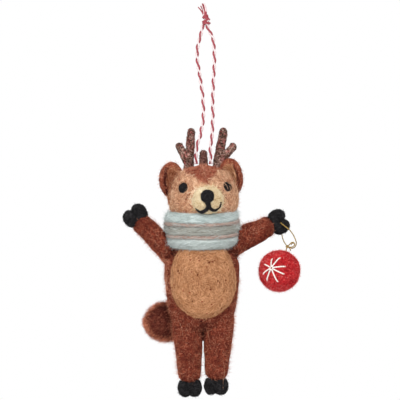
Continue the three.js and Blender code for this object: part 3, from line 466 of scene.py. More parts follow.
# Felt bodies
def remeshed(mesh, voxel, smoothing):
    """A mesh with even faces and its corners rounded off. Forms that overlap grow together."""
    work = new_piece("soft", mesh)
    remesh = work.modifiers.new("remesh", "REMESH")
    remesh.mode = "VOXEL"
    remesh.voxel_size = voxel * MM
    smooth = work.modifiers.new("smooth", "SMOOTH")
    smooth.factor = 0.5
    smooth.iterations = smoothing
    depsgraph = bpy.context.evaluated_depsgraph_get()
    result = bpy.data.meshes.new_from_object(work.evaluated_get(depsgraph))
    bpy.data.objects.remove(work)
    return result


def soft_copy(node, voxel, smoothing):
    """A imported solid's mesh with its points welded, remeshed."""
    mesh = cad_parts[node].data.copy()
    work = bmesh.new()
    work.from_mesh(mesh)
    bmesh.ops.remove_doubles(work, verts=work.verts, dist=0.001 * MM)
    work.to_mesh(mesh)
    work.free()
    return remeshed(mesh, voxel, smoothing)


def roughen(mesh, swell, lump=0.0, lump_size=5.0, fine=0.0):
    """Moves each point out along its normal by a growth and two sizes of lumps.

    swell is in millimetres, or a function of the point.
    """
    normals = [vertex.normal.copy() for vertex in mesh.vertices]
    for vertex, normal in zip(mesh.vertices, normals):
        growth = swell(vertex.co) if callable(swell) else swell
        broad = noise.noise(vertex.co / (lump_size * MM))
        close = noise.noise(vertex.co / (FINE_LUMP_SIZE * MM))
        vertex.co += normal * MM * (growth + lump * broad + fine * close)
    mesh.update()


def finish_felt(node, mesh, body, slot, palette=None):
    mesh.materials.clear()
    mesh.materials.append(FELTS[palette or slot])
    return place(new_piece(node + "_felt", mesh), body, slot, node)


def felted(node, slot, felting, palette=None, body="figure"):
    """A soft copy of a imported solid: remeshed, smoothed, grown over its seat gaps and made lumpy."""
    mesh = soft_copy(node, felting.voxel, felting.smoothing)
    roughen(mesh, felting.swell, felting.lump, felting.lump_size, felting.fine)
    mesh.shade_smooth()
    return finish_felt(node, mesh, body, slot, palette)


def part_legs(mesh, side):
    """Draws a leg's inner side to the edge of a gap that opens below the crotch."""
    for vertex in mesh.vertices:
        share = (CROTCH_TOP - vertex.co.z / MM) / (CROTCH_TOP - CROTCH_BOTTOM)
        room = LEG_GAP / 2 * clamped(share)
        pull = (side * (vertex.co.x / MM - LEG_MIDDLE_X) - room) / LEG_PULL
        if pull < 1:
            vertex.co.x = (LEG_MIDDLE_X + side * (room + LEG_PULL * max(pull, 0.0) ** 2)) * MM


def middle_of(mesh):
    return sum((vertex.co for vertex in mesh.vertices), Vector()) / len(mesh.vertices)


def lengthen_arm(mesh, node):
    """Draws the end of an arm out towards its hoof."""
    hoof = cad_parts[node.replace("arm", "front_hoof")].data
    way = (middle_of(hoof) - middle_of(mesh)).normalized()
    tip = max(vertex.co.dot(way) for vertex in mesh.vertices)
    for vertex in mesh.vertices:
        share = 1 - (tip - vertex.co.dot(way)) / (ARM_END * MM)
        if share > 0:
            vertex.co += way * ARM_GROWTH[node] * MM * math.sqrt(share)


def grown_together(meshes, felting):
    """One soft skin over several meshes."""
    work = bmesh.new()
    for mesh in meshes:
        work.from_mesh(mesh)
    joined = bpy.data.meshes.new("joined")
    work.to_mesh(joined)
    work.free()
    skin = remeshed(joined, felting.voxel, felting.smoothing)
    roughen(skin, felting.swell, felting.lump, felting.lump_size, felting.fine)
    return skin


def body_skin():
    limbs = []
    for node in BODY_NODES:
        mesh = soft_copy(node, LIMB_VOXEL, LIMB_SMOOTHING)
        roughen(mesh, BODY_GROWTH)
        if node.startswith("leg"):
            part_legs(mesh, -1 if node.endswith("left") else 1)
        if node.startswith("arm"):
            lengthen_arm(mesh, node)
        limbs.append(mesh)
    return grown_together(limbs, BODY_SKIN)


def head_growth(point):
    """The crown stays low, and the rust wool comes level with the tan layer further down."""
    below_top = (CROWN_TOP - CROWN_RIM - point.z / MM) / CROWN_FADE
    return CROWN_GROWTH + HEAD_GROWTH * clamped(below_top)


def head_skin():
    parts = []
    for node, growth in zip(HEAD_SLOTS, (head_growth, MASK_GROWTH, MUZZLE_GROWTH)):
        mesh = soft_copy(node, FACE_VOXEL, FACE_SMOOTHING)
        roughen(mesh, growth)
        parts.append(mesh)
    return grown_together(parts, HEAD_SKIN)


def mesh_tree(*meshes):
    """All faces of some meshes in one search tree."""
    points = []
    faces = []
    for mesh in meshes:
        first = len(points)
        points += [vertex.co.copy() for vertex in mesh.vertices]
        faces += [[first + index for index in polygon.vertices] for polygon in mesh.polygons]
    return BVHTree.FromPolygons(points, faces)


def close_holes(mesh):
    work = bmesh.new()
    work.from_mesh(mesh)
    open_edges = [edge for edge in work.edges if edge.is_boundary]
    bmesh.ops.holes_fill(work, edges=open_edges, sides=0)
    work.to_mesh(mesh)
    work.free()


def shared_out(skin, slots, reach=None, ragged=0.0):
    """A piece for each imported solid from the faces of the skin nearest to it, and its count of such faces.

    slots gives each solid's finish, and reach how many millimetres a solid reaches beyond its surface.
    ragged is how far the borders wander. The pieces keep the skin's normals, so that no seam shows.
    """
    nodes = list(slots)
    reach = reach or {}
    trees = [mesh_tree(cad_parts[node].data) for node in nodes]
    shares = {node: [] for node in nodes}
    for polygon in skin.polygons:
        distances = []
        for index, (node, tree) in enumerate(zip(nodes, trees)):
            wander = ragged * noise.noise(polygon.center / (HAIRLINE_WAVE * MM) + UP * 20 * index)
            distances.append(tree.find_nearest(polygon.center)[3] / MM - reach.get(node, 0) + wander)
        shares[nodes[distances.index(min(distances))]].append(tuple(polygon.vertices))
    pieces = {}
    for node, faces in shares.items():
        used = sorted({index for face in faces for index in face})
        renumbered = {index: number for number, index in enumerate(used)}
        mesh = bpy.data.meshes.new(node + "_felt")
        points = [skin.vertices[index].co for index in used]
        mesh.from_pydata(points, [], [[renumbered[index] for index in face] for face in faces])
        close_holes(mesh)
        mesh.shade_smooth()
        mesh.normals_split_custom_set_from_vertices([skin.vertices[index].normal for index in used])
        pieces[node] = (finish_felt(node, mesh, "figure", slots[node]), len(faces))
    return pieces


def fill_out_tummy(mesh):
    for vertex in mesh.vertices:
        low = clamped((TUMMY_MIDDLE - vertex.co.z / MM) / TUMMY_FADE)
        aside = clamped((vertex.co.x / MM - FIGURE_X) / TUMMY_HALF_WIDTH)
        lean = TUMMY_LEAN * aside * min(1.0, TUMMY_LEAN_AT_TOP + low)
        vertex.co += Vector((lean, TUMMY_LEAN_BACK * lean, -TUMMY_SAG * low)) * MM
    mesh.update()


skin = body_skin()
body_pieces = shared_out(skin, {node: "brown_felt" for node in BODY_NODES})
face_skin = head_skin()
head_pieces = shared_out(face_skin, HEAD_SLOTS, {"head": HEAD_GROWTH}, HAIRLINE_RAGGED)
(head, head_faces), (mask, mask_faces), (muzzle, muzzle_faces) = head_pieces.values()

# The other felt pieces, ball included
tummy = felted("tummy_pad", "tummy_felt", TUMMY_FELTING)
fill_out_tummy(tummy.data)
nose = felted("nose", "black_felt", NOSE_FELTING)
eyes = [felted(node, "black_felt", EYE_FELTING) for node in ("eye_left", "eye_right")]
ears = [felted(node, "ear_felt", EAR_FELTING) for node in ("ear_left", "ear_right")]
LININGS = ("ear_lining_left", "ear_lining_right")
linings = [felted(node, "lining_felt", LINING_FELTING, palette=node) for node in LININGS]
antlers = [felted(node, "antler_felt", ANTLER_FELTING) for node in ("antler_left", "antler_right")]
centre_point = felted("antler_centre_point", "antler_felt", ANTLER_FELTING, palette="antler_shade")
hooves = [
    felted(node, "black_felt", HOOF_FELTING)
    for node in ("front_hoof_left", "front_hoof_right", "hind_hoof_left", "hind_hoof_right")
]
for piece in (*hooves, *eyes, nose):
    piece.data.transform(Matrix.Translation(Vector(SHIFTS[piece.name]) * MM))
pivot = Matrix.Translation(Vector(LEFT_HOOF_PIVOT) * MM)
hooves[0].data.transform(pivot @ Matrix.Rotation(math.radians(LEFT_HOOF_TURN), 4, "Y") @ pivot.inverted())
tail = felted("tail", "brown_felt", TAIL_FELTING, palette="tail")
ball = felted("felt_ball", "ball_felt", BALL_FELTING, body="ball")


# Paths and tubes
def hermite(start, end, leave, arrive, t):
    return (
        (2 * t ** 3 - 3 * t ** 2 + 1) * start + (t ** 3 - 2 * t ** 2 + t) * leave
        + (3 * t ** 2 - 2 * t ** 3) * end + (t ** 3 - t ** 2) * arrive
    )


def even_points(points, step):
    lengths = [0.0]
    for point, following in zip(points, points[1:]):
        lengths.append(lengths[-1] + (following - point).length)
    count = max(2, round(lengths[-1] / step))
    wanted = np.linspace(0, lengths[-1], count + 1)
    columns = [np.interp(wanted, lengths, [point[axis] for point in points]) for axis in range(3)]
    return [Vector(values) for values in zip(*columns)]


def smooth_route(points, step):
    """A centripetal curve through points in millimetres, as evenly spaced points in metres."""
    points = [Vector(point) for point in points]
    ends = [2 * points[0] - points[1], *points, 2 * points[-1] - points[-2]]
    parts = 12
    fine = []
    for a, b, c, d in zip(ends, ends[1:], ends[2:], ends[3:]):
        spans = [math.sqrt((q - p).length) or 1e-6 for p, q in ((a, b), (b, c), (c, d))]
        out = (b - a) / spans[0] - (c - a) / (spans[0] + spans[1]) + (c - b) / spans[1]
        into = (c - b) / spans[1] - (d - b) / (spans[1] + spans[2]) + (d - c) / spans[2]
        for part in range(parts):
            fine.append(hermite(b, c, out * spans[1], into * spans[1], part / parts))
    fine.append(points[-1])
    return even_points([point * MM for point in fine], step * MM)


def route_length(points):
    return sum((b - a).length for a, b in zip(points, points[1:]))


def carried_frames(points):
    """The direction of a route at each point, with two cross directions that turn as little as they can."""
    frames = []
    across = None
    for index in range(len(points)):
        before = points[max(index - 1, 0)]
        after = points[min(index + 1, len(points) - 1)]
        along = (after - before).normalized()
        if across is None:
            across = along.orthogonal()
        across = (across - along * across.dot(along)).normalized()
        frames.append((along, across, along.cross(across)))
    return frames


class MeshMaker:
    """Collects the points and faces of one mesh with several materials."""

    def __init__(self):
        self.points = []
        self.faces = []
        self.material_indices = []

    def tube(self, centres, radii, sides, material_index=0):
        """A round tube with closed ends along evenly spaced centres."""
        first = len(self.points)
        for centre, radius, (_, across, other) in zip(centres, radii, carried_frames(centres)):
            for side in range(sides):
                angle = 2 * math.pi * side / sides
                self.points.append(centre + radius * (math.cos(angle) * across + math.sin(angle) * other))
        self.skin(first, len(centres), sides, lambda ring: material_index)

    def skin(self, first, rings, sides, material_of):
        """Joins rings of points, already added, into a tube with closed ends."""
        last = first + (rings - 1) * sides
        for ring in range(rings - 1):
            for side in range(sides):
                here = first + ring * sides + side
                beside = first + ring * sides + (side + 1) % sides
                self.faces.append((here, beside, beside + sides, here + sides))
                self.material_indices.append(material_of(ring))
        self.faces.append(tuple(first + side for side in reversed(range(sides))))
        self.faces.append(tuple(last + side for side in range(sides)))
        self.material_indices += [material_of(0), material_of(rings - 1)]

    def piece(self, name, *materials):
        mesh = bpy.data.meshes.new(name)
        mesh.from_pydata(self.points, [], self.faces)
        for material in materials:
            mesh.materials.append(material)
        mesh.polygons.foreach_set("material_index", self.material_indices)
        mesh.shade_smooth()
        return new_piece(name, mesh)


def plied(maker, route, diameter, pitch, plies=2, sides=9, turn=0.0):
    """A cord of twisted plies along a route. Its material indices are the plies' own."""
    frames = carried_frames(route)
    step = route_length(route) / (len(route) - 1)
    for ply in range(plies):
        centres = []
        for index, (point, (_, across, other)) in enumerate(zip(route, frames)):
            angle = turn - 2 * math.pi * (index * step / (pitch * MM) - ply / plies)
            offset = math.cos(angle) * across + math.sin(angle) * other
            centres.append(point + PLY_OFFSET * diameter * MM * offset)
        maker.tube(centres, [PLY_RADIUS * diameter * MM] * len(centres), sides, ply)


def turning(turns=1.0, steps=36):
    """Even shares of a number of turns, each with its angle."""
    return [(step / steps, 2 * math.pi * turns * step / steps) for step in range(steps + 1)]


# Twine loop
def twine_piece(name, node, body, route, turn=0.0):
    maker = MeshMaker()
    plied(maker, route, TWINE_DIAMETER, TWINE_PITCH, turn=turn)
    return place(maker.piece(name, RED_COTTON, WHITE_COTTON), body, "twine", node)


def knot_piece():
    maker = MeshMaker()
    centre = Vector(KNOT_CENTRE)
    for tilt, height, phase in KNOT_TURNS:
        leaning = Matrix.Rotation(math.radians(tilt), 3, "Y")
        turn = []
        for _, angle in turning():
            ring = Vector((KNOT_RADIUS * math.cos(angle), KNOT_RADIUS * math.sin(angle), 0))
            turn.append(centre + leaning @ ring + UP * height)
        plied(maker, smooth_route(turn, 0.3), KNOT_TWINE, KNOT_PITCH, plies=3, turn=phase)
    core = [centre + UP * KNOT_CORE_BOTTOM, centre, centre + UP * KNOT_CORE_TOP]
    plied(maker, smooth_route(core, 0.4), KNOT_CORE_DIAMETER, KNOT_CORE_PITCH)
    piece = maker.piece("twine_knot_turns", RED_COTTON, RED_COTTON, WHITE_COTTON)
    return place(piece, "hanging_loop", "twine", "twine_knot")


def frayed_tail(node, yarns, side):
    maker = MeshMaker()
    for index, (x, z, radius, colour) in enumerate(yarns):
        root_y = FRAY_ROOT_SPREAD * math.cos(2.4 * index)
        end_y = FRAY_END_SPREAD * math.sin(1.9 * index + side)
        root = Vector(FRAY_ROOT) + Vector((FRAY_ROOT_ASIDE * side, root_y, -FRAY_ROOT_DEPTH))
        end = Vector(FRAY_ROOT) + Vector((x, end_y, z))
        middle = root.lerp(end, 0.5) + Vector(FRAY_ARCH)
        route = smooth_route([root, middle, end], 0.35)
        radii = [radius * MM * (1 - FRAY_TAPER * (step / len(route)) ** 2) for step in range(len(route))]
        maker.tube(route, radii, 7, colour)
    piece = maker.piece(node + "_yarns", RED_COTTON, WHITE_COTTON)
    return place(piece, "hanging_loop", "twine", node)


left_route, right_route = [
    smooth_route([(x, 0, z) for x, z in points], 0.35) for points in (LEFT_STRAND, RIGHT_STRAND)
]
left_strand = twine_piece("twine_left", "twine_left_strand", "hanging_loop", left_route)
right_strand = twine_piece("twine_right", "twine_right_strand", "hanging_loop", right_route, turn=math.pi)
knot = knot_piece()
tails = [frayed_tail("twine_tail_left", LEFT_FRAY, -1), frayed_tail("twine_tail_right", RIGHT_FRAY, 1)]

# The same twine's stitch through the crown
twine_piece("twine_stitch_plies", "twine_stitch", "figure", smooth_route(STITCH, 0.4))


# Gold thread
def thread_route(points, start):
    return smooth_route([Vector(point) + Vector(start) for point in points], 0.2)


def bow_knot():
    """The turns of thread round the middle of the bow."""
    turns = []
    for share, angle in turning(BOW_KNOT_TURNS):
        rise = BOW_KNOT_LENGTH * (share - 0.5)
        turns.append((BOW_KNOT_RADIUS * math.cos(angle), rise, BOW_KNOT_RADIUS * math.sin(angle)))
    return turns


def thread(name, routes, node, body):
    maker = MeshMaker()
    for route in routes:
        plied(maker, route, THREAD_DIAMETER, THREAD_PITCH, sides=7)
    return place(maker.piece(name, GOLD, GOLD), body, "gold_thread", node)


loop_route = thread_route(THREAD_LOOP, HOLE)
thread_loop = thread("gold_loop", [loop_route], "gold_thread_loop", "thread_loop")
bow_routes = [thread_route(points, BOW) for points in (BOW_CURL, BOW_SECOND_CURL, BOW_TAIL, bow_knot())]
thread_bow = thread("gold_bow", bow_routes, "gold_thread_bow", "thread_loop")
stub_down = (Vector(BALL) - Vector(BOW)).normalized()
stub_route = thread_route([stub_down * distance for distance in STUB_DISTANCES], BOW)
thread("gold_stub", [stub_route], "gold_thread_stub", "ball_hanger")


# Scarf
def scarf_point(turns, outward, lift):
    """A point of the winding in millimetres, in turns clockwise from the back as seen from above."""
    whole = math.floor(turns)
    share = turns - whole
    angle = 2 * math.pi * share
    climb = share + SCARF_CLIMB_AT_BACK * math.sin(angle) / (2 * math.pi)
    height = turns - lift / SCARF_PITCH
    closer = SCARF_BULGE * (2 * height / SCARF_TURNS - 1) ** 2
    reach = outward - closer - ROVING_THICKNESS / 2
    dip = SCARF_DIP * (1 - math.cos(angle)) / 2
    return Vector((
        FIGURE_X + (SCARF_WIDTH / 2 + reach) * math.sin(angle),
        FIGURE_Y + SCARF_Y + (SCARF_DEPTH / 2 + reach) * math.cos(angle),
        FIGURE_TOP + SCARF_TOP - SCARF_PITCH * (whole + climb) - dip + lift,
    ))


@dataclass
class Winding:
    """One length wound round the neck: its first turn, turns, place, section and lumpiness."""
    first: float
    turns: float
    outward: float
    lift: float
    thickness: float
    height: float
    sides: int
    wander: float
    steps_per_turn: int = 120
    taper: float = 0.06


def wound_piece(name, node, slot, winding, palettes):
    """A winding with soft lumps and tapered ends. Each whole turn has its own palette."""
    maker = MeshMaker()
    steps = round(winding.turns * winding.steps_per_turn)
    for step in range(steps + 1):
        turns = winding.first + winding.turns * step / steps
        end = min(step, steps - step) / winding.steps_per_turn
        taper = min(1.0, WINDING_END + end / winding.taper)
        for side in range(winding.sides):
            angle = 2 * math.pi * side / winding.sides
            level = math.sin(angle) * SECTION_LUMPS + winding.lift
            sample = Vector((turns * WINDING_LUMPS, math.cos(angle) * SECTION_LUMPS, level))
            swell = taper * (1 + winding.wander * noise.noise(sample))
            out = winding.outward + winding.thickness / 2 * math.cos(angle) * swell
            up = winding.lift + winding.height / 2 * math.sin(angle) * swell
            maker.points.append(scarf_point(turns, out, up) * MM)
    last = len(palettes) - 1
    maker.skin(0, steps + 1, winding.sides, lambda ring: min(last, ring // winding.steps_per_turn))
    piece = maker.piece(name, *[FELTS[palette] for palette in palettes])
    return place(piece, "figure", slot, node)


roving = Winding(
    first=0, turns=SCARF_TURNS, outward=0, lift=0, thickness=ROVING_THICKNESS, height=ROVING_HEIGHT,
    sides=16, wander=0.14,
)
yarn = Winding(
    first=(SCARF_TURNS - 1 - YARN_TURNS) / 2, turns=YARN_TURNS, outward=YARN_OUT, lift=-SCARF_PITCH / 2,
    thickness=YARN_DIAMETER, height=YARN_DIAMETER, sides=8, wander=0.3,
)
# The bottom turn's dimmer blue is painted shade
TURN_PALETTES = ["blue_roving", "grey_roving", "dim_roving"]
TURN_FUZZ_PALETTES = ["pale_roving", "dim_roving", "pale_roving"]
scarf = wound_piece("scarf_roving", "scarf", "blue_roving", roving, TURN_PALETTES)
stripe = wound_piece("scarf_stripe_yarn", "scarf_stripe", "stripe_yarn", yarn, ["stripe_yarn"])


# Snowflake and mouth
def snowflake_piece():
    maker = MeshMaker()
    aside = Matrix.Rotation(math.radians(-SNOWFLAKE_TURN), 3, "Z")
    facing = aside @ Matrix.Rotation(math.radians(-SNOWFLAKE_LIFT), 3, "X")
    for index, (angle, length) in enumerate(SNOWFLAKE_SPOKES):
        points = []
        for share in np.linspace(SPOKE_START, 1, 9):
            bend = math.radians(angle + SPOKE_BEND * math.sin(2.1 * index) * share)
            reach = share * length / BALL_RADIUS
            sunk = SPOKE_SINK * max(0, share - SPOKE_SINKS_FROM) / (1 - SPOKE_SINKS_FROM)
            radius = BALL_RADIUS + SPOKE_HEIGHT - sunk + SPOKE_UNEVEN * math.sin(1.7 * index)
            across = radius * math.sin(reach)
            local = Vector((across * math.cos(bend), -radius * math.cos(reach), across * math.sin(bend)))
            points.append(Vector(BALL) + facing @ local)
        plied(maker, smooth_route(points, 0.25), SPOKE_DIAMETER, SPOKE_PITCH, sides=8, turn=index)
    return maker.piece("snowflake_yarn", SNOW_COTTON, SNOW_COTTON)


def front_point(tree, x, z):
    """The point of a surface that shows from the front at a place in millimetres, or None beside it."""
    hit = tree.ray_cast(Vector((x, -IN_FRONT, z)) * MM, BACK)[0]
    return None if hit is None else hit / MM


def mouth_piece(tree):
    maker = MeshMaker()
    for line in MOUTH_LINES:
        points = [front_point(tree, x, z) - BACK * MOUTH_LIFT for x, z, _ in line]
        route = smooth_route(points, 0.3)
        places = np.linspace(0, 1, len(line))
        widths = np.interp(np.linspace(0, 1, len(route)), places, [thickness for _, _, thickness in line])
        maker.tube(route, [float(width) / 2 * MM for width in widths], 10)
    return maker.piece("mouth_wool", FELTS["black_felt"])


place(snowflake_piece(), "ball", "white_yarn", "snowflake_stitch")
mouth = place(mouth_piece(mesh_tree(face_skin)), "figure", "black_felt", "mouth_stitch")


# Strands of loose wool
@dataclass
class Layer:
    """One layer of strands: how many per square millimetre, and their length and width in millimetres.

    stand runs from 0, lying on the felt, to 1, upright. flow gives the way they lie and spread the degrees
    that they stray from it. shades are shares of the palette from dark to light, tip is what the far end
    adds to them, and mottle is how much they follow broad patches. curl is how far they bend at each point,
    in radians. where tells if a strand may root at a point.
    """
    density: float
    length: float
    width: float
    stand: float = 0.03
    shades: tuple = (0.0, 1.0)
    flow: object = None
    spread: float = 180
    lift: float = 0.1
    points: int = 5
    tip: float = 0.0
    mottle: float = 0.5
    curl: float = 0.35
    palette: str = ""
    where: object = None


def level_flow(point, normal):
    return UP.cross(normal)


def upright_flow(point, normal):
    return UP - normal * UP.dot(normal)


def outward_flow(x, y, z):
    """Strands that lie away from one point, given in millimetres."""
    middle = Vector((x, y, z)) * MM
    return lambda point, normal: point - middle


def round_flow(x, z, bare_radius):
    """Strands that lie in rings round a point of the front, but in any way close to it."""
    middle = Vector((x, 0, z)) * MM

    def flow(point, normal):
        outward = point - middle
        if math.hypot(outward.x, outward.z) < bare_radius * MM:
            return None
        return Vector((outward.z, 0, -outward.x))
    return flow


def sample_surface(mesh, count, rng, face_count):
    """Random points spread evenly over the first faces of a mesh."""
    mesh.calc_loop_triangles()
    corners = np.array([
        triangle.vertices for triangle in mesh.loop_triangles if triangle.polygon_index < face_count
    ])
    points = np.array([vertex.co for vertex in mesh.vertices])
    a, b, c = (points[corners[:, corner]] for corner in range(3))
    areas = np.linalg.norm(np.cross(b - a, c - a), axis=1) / 2
    chosen = rng.choice(len(areas), count, p=areas / areas.sum())
    u, v = rng.random((2, count))
    flip = u + v > 1
    u[flip], v[flip] = 1 - u[flip], 1 - v[flip]
    return a[chosen] + u[:, None] * (b - a)[chosen] + v[:, None] * (c - a)[chosen]


def strand_path(tree, root, layer, rng):
    """Points and normals of one strand, or None where it can't lie."""
    point, normal, _, _ = tree.find_nearest(root)
    way = layer.flow(point, normal) if layer.flow else None
    if way is None or way.length < 1e-9:
        way = normal.orthogonal()
        turn = rng.uniform(-math.pi, math.pi)
    else:
        turn = math.radians(layer.spread) * rng.uniform(-1, 1)
    way = (way - normal * way.dot(normal)).normalized()
    way.rotate(Matrix.Rotation(turn, 3, normal))
    length = layer.length * MM * rng.uniform(*STRAND_LENGTHS)
    stand = min(0.98, layer.stand * rng.uniform(*STRAND_LENGTHS))
    walk = length * math.sqrt(1 - stand ** 2) / (layer.points - 1)
    lift = layer.lift * MM * rng.uniform(*STRAND_LIFTS)
    curl = rng.normal(0, layer.curl)
    path = []
    for step in range(layer.points):
        share = step / (layer.points - 1)
        path.append((point + normal * (lift + stand * length * share ** 1.2), normal.copy()))
        way.rotate(Matrix.Rotation(curl, 3, normal))
        point, normal, _, _ = tree.find_nearest(point + way * walk)
        way = way - normal * way.dot(normal)
        if way.length < 1e-9:
            return None
        way.normalize()
    return path


def add_strand(points, faces, path, width):
    """A thin tapered ribbon with a ridge along its middle: three points a step."""
    first = len(points)
    for step, (point, normal) in enumerate(path):
        share = step / (len(path) - 1)
        ahead = path[min(step + 1, len(path) - 1)][0] - path[max(step - 1, 0)][0]
        side = ahead.cross(normal)
        side = side.normalized() if side.length > 1e-12 else normal.orthogonal()
        half = width / 2 * (0.25 + 0.75 * math.sin(math.pi * min(1.0, share + 0.15) * 0.95))
        ridge = side.cross(ahead).normalized() * half * STRAND_RIDGE
        points += [point - side * half, point + ridge, point + side * half]
    for step in range(len(path) - 1):
        here = first + 3 * step
        faces += [(here, here + 1, here + 4, here + 3), (here + 1, here + 2, here + 5, here + 4)]


def map_strands(mesh, cells, strand_count):
    """Each strand has a small cell of its own in the texture map."""
    grid = math.ceil(math.sqrt(max(1, strand_count)))
    cell = np.array(cells)
    column = cell[:, 0] % grid
    row = cell[:, 0] // grid
    inside = 1 - 2 * CELL_MARGIN
    across = (column + CELL_MARGIN + inside * cell[:, 1]) / grid
    along = (row + CELL_MARGIN + inside * cell[:, 2]) / grid
    corners = np.zeros(len(mesh.loops), dtype=np.int32)
    mesh.loops.foreach_get("vertex_index", corners)
    layer = mesh.uv_layers.new(name="OFBake")
    layer.data.foreach_set("uv", np.stack([across, along], axis=1)[corners].astype(np.float32).ravel())


def wool_piece(piece, slot, layers, walk, seed, face_count=None):
    """The loose wool of one felt piece, which lies on the surfaces of the walk tree."""
    rng = np.random.default_rng(seed)
    area = sum(polygon.area for polygon in piece.data.polygons) / MM ** 2
    face_count = face_count or len(piece.data.polygons)
    palettes = []
    points, faces, shades, cells, indices = [], [], [], [], []
    strand_count = 0
    for layer in layers:
        palette = layer.palette or slot
        if palette not in palettes:
            palettes.append(palette)
        for root in sample_surface(piece.data, max(1, round(area * layer.density)), rng, face_count):
            root = Vector(root)
            if layer.where and not layer.where(root):
                continue
            path = strand_path(walk, root, layer, rng)
            if path is None or cover.ray_cast(path[0][0], path[0][1], COVER_DEPTH * MM)[0] is not None:
                continue
            patch = layer.mottle * noise.noise(root / (MOTTLE_SIZE * MM))
            shade = rng.uniform(*layer.shades) + patch
            first_face = len(faces)
            add_strand(points, faces, path, layer.width * MM * rng.uniform(*STRAND_WIDTHS))
            indices += [palettes.index(palette)] * (len(faces) - first_face)
            for step in range(len(path)):
                share = step / (len(path) - 1)
                shades += [clamped(shade + layer.tip * share)] * 3
                cells += [(strand_count, across, share) for across in (0.0, 0.5, 1.0)]
            strand_count += 1
    mesh = bpy.data.meshes.new(piece.name + "_wool")
    mesh.from_pydata(points, [], faces)
    mesh.attributes.new("shade", "FLOAT", "POINT").data.foreach_set("value", shades)
    map_strands(mesh, cells, strand_count)
    for palette in palettes:
        mesh.materials.append(WOOLS[palette])
    mesh.polygons.foreach_set("material_index", indices)
    mesh.shade_smooth()
    wool = new_piece(piece.name + "_wool", mesh)
    wool.parent = piece


# Surfaces that strands lie on, and the cover of all surfaces, under which none are laid
small_parts = [nose, mouth, *eyes, *antlers, centre_point, *hooves]
others = [*ears, *linings, *small_parts, tummy, tail, ball, scarf, stripe]
cover = mesh_tree(skin, face_skin, *[piece.data for piece in others])
body_walk = mesh_tree(skin, tummy.data)
head_walk = mesh_tree(face_skin, *[piece.data for piece in (*ears, *linings)])
scarf_walk = mesh_tree(scarf.data, stripe.data)
roving_tree = mesh_tree(scarf.data)


# Tests of where strands may root, in millimetres as seen from the front
def within(low_x, high_x, low_z, high_z, ragged=0.0):
    """Whether a point lies in a box whose edges wander by a ragged width."""
    def test(point):
        wander = ragged * noise.noise(point / (2 * MM))
        return low_x < point.x / MM + wander < high_x and low_z < point.z / MM + wander < high_z
    return test


def beyond(x, z, radius, high_x=0, low_z=-200):
    """Whether a point lies outside a circle, and left of and above two limits."""
    def test(point):
        away = math.hypot(point.x / MM - x, point.z / MM - z) > radius
        return away and point.x / MM < high_x and point.z / MM > low_z
    return test


def clear_of_twine(point):
    """Whether a strand at a point leaves the twine its way as the figure swings."""
    aside = min(abs(point.x / MM - strand[-1][0]) for strand in (LEFT_STRAND, RIGHT_STRAND))
    return aside > TWINE_DIAMETER or point.z / MM < CROWN_TOP - TWINE_SWEEP


def clear_of_ball(point):
    """Whether a strand at a point leaves the ball its way as the thread swings and the ball nods."""
    nearest = min((point / MM - Vector(centre)).length for centre in BALL_SWUNG_IN)
    return nearest > BALL_RADIUS + BALL_CLEARANCE


def patchy(size, least):
    """Whether a point lies in one of some random patches of about this size."""
    return lambda point: noise.noise(point / (size * MM)) > least


def on_turn(turn):
    """Whether a point lies on one turn of the scarf, counted from the top."""
    def test(point):
        face = roving_tree.find_nearest(point)[2]
        return face // (roving.steps_per_turn * roving.sides) == turn
    return test


# Wool of each piece: the strands per square millimetre, their length and their width come first
def lying(density, length, width, **options):
    return Layer(density, length, width, **options)


# Upright fibres in the lighter shades: painted glow of backlit fuzz at the outlines
def fuzz(density, length, width=0.09, **options):
    return Layer(density, length, width, stand=0.9, points=4, shades=(0.3, 1.0), **options)


def shaded(density, where, shades=(-0.1, 0.6), **options):
    """Dark short strands in a hollow: painted shade."""
    return lying(density, 1.6, shades=shades, lift=0.4, where=where, **options)


def cuff(shades, flow, where):
    """Strands at the end of an arm that lean out over its hoof."""
    return Layer(2.2, 2.2, 0.2, stand=0.3, shades=shades, flow=flow, spread=30, where=where)


def wound_fibres(density, length=9, width=0.3, points=8, spread=5, curl=0.05, **options):
    """Long fibres that run along the winding."""
    return Layer(
        density, length, width, points=points, flow=level_flow, spread=spread, curl=curl, **options,
    )


def loose_ends(density, length, palette, where=None):
    """Short fibres that stand off the winding."""
    return Layer(
        density, length, 0.09, stand=0.6, points=4, flow=level_flow, spread=60, shades=(0.4, 1.0),
        palette=palette, where=where,
    )


def brushed(density, length, width, **options):
    """Strands of the tail that lie away from its root and get lighter towards their tips: painted backlight
    glow.
    """
    return Layer(
        density, length, width, flow=outward_flow(-12, 9, -146), spread=35, tip=0.2, palette="tail",
        **options,
    )


BODY_WOOL = [
    lying(1.1, 2, 0.26, mottle=0.2),
    lying(0.8, 1.7, 0.22, shades=(0.0, 0.25), mottle=0.2),
    lying(0.15, 3.5, 0.14, shades=(0.1, 0.7), palette="brown_fuzz"),
    fuzz(1.8, 1.3, 0.08, palette="brown_fuzz", where=clear_of_ball),
    # Painted shade: dark strands in the crotch and the folds under the arms
    shaded(2.6, within(-2, 1.2, -155.5, -147), shades=(-0.3, 0.1), width=0.26),
    shaded(1.4, within(-19, -11.5, -115, -104.5, 1.5), width=0.28, palette="fold_shade"),
    shaded(1.4, within(10.5, 16.5, -115, -106, 1.5), width=0.28, palette="fold_shade"),
    # Painted light: lighter strands on the left flank, where the light catches its fuzz
    lying(1.2, 2.4, 0.16, shades=(0.3, 0.9), palette="brown_fuzz", where=within(-21, -17.4, -137, -111, 2)),
    lying(
        1.5, 2.4, 0.14, shades=(0.2, 1.0), lift=0.3, palette="rust_fuzz",
        where=within(-21, -18.3, -136, -114, 2),
    ),
    fuzz(0.25, 2.4, 0.07, palette="brown_fuzz", where=clear_of_ball),
]
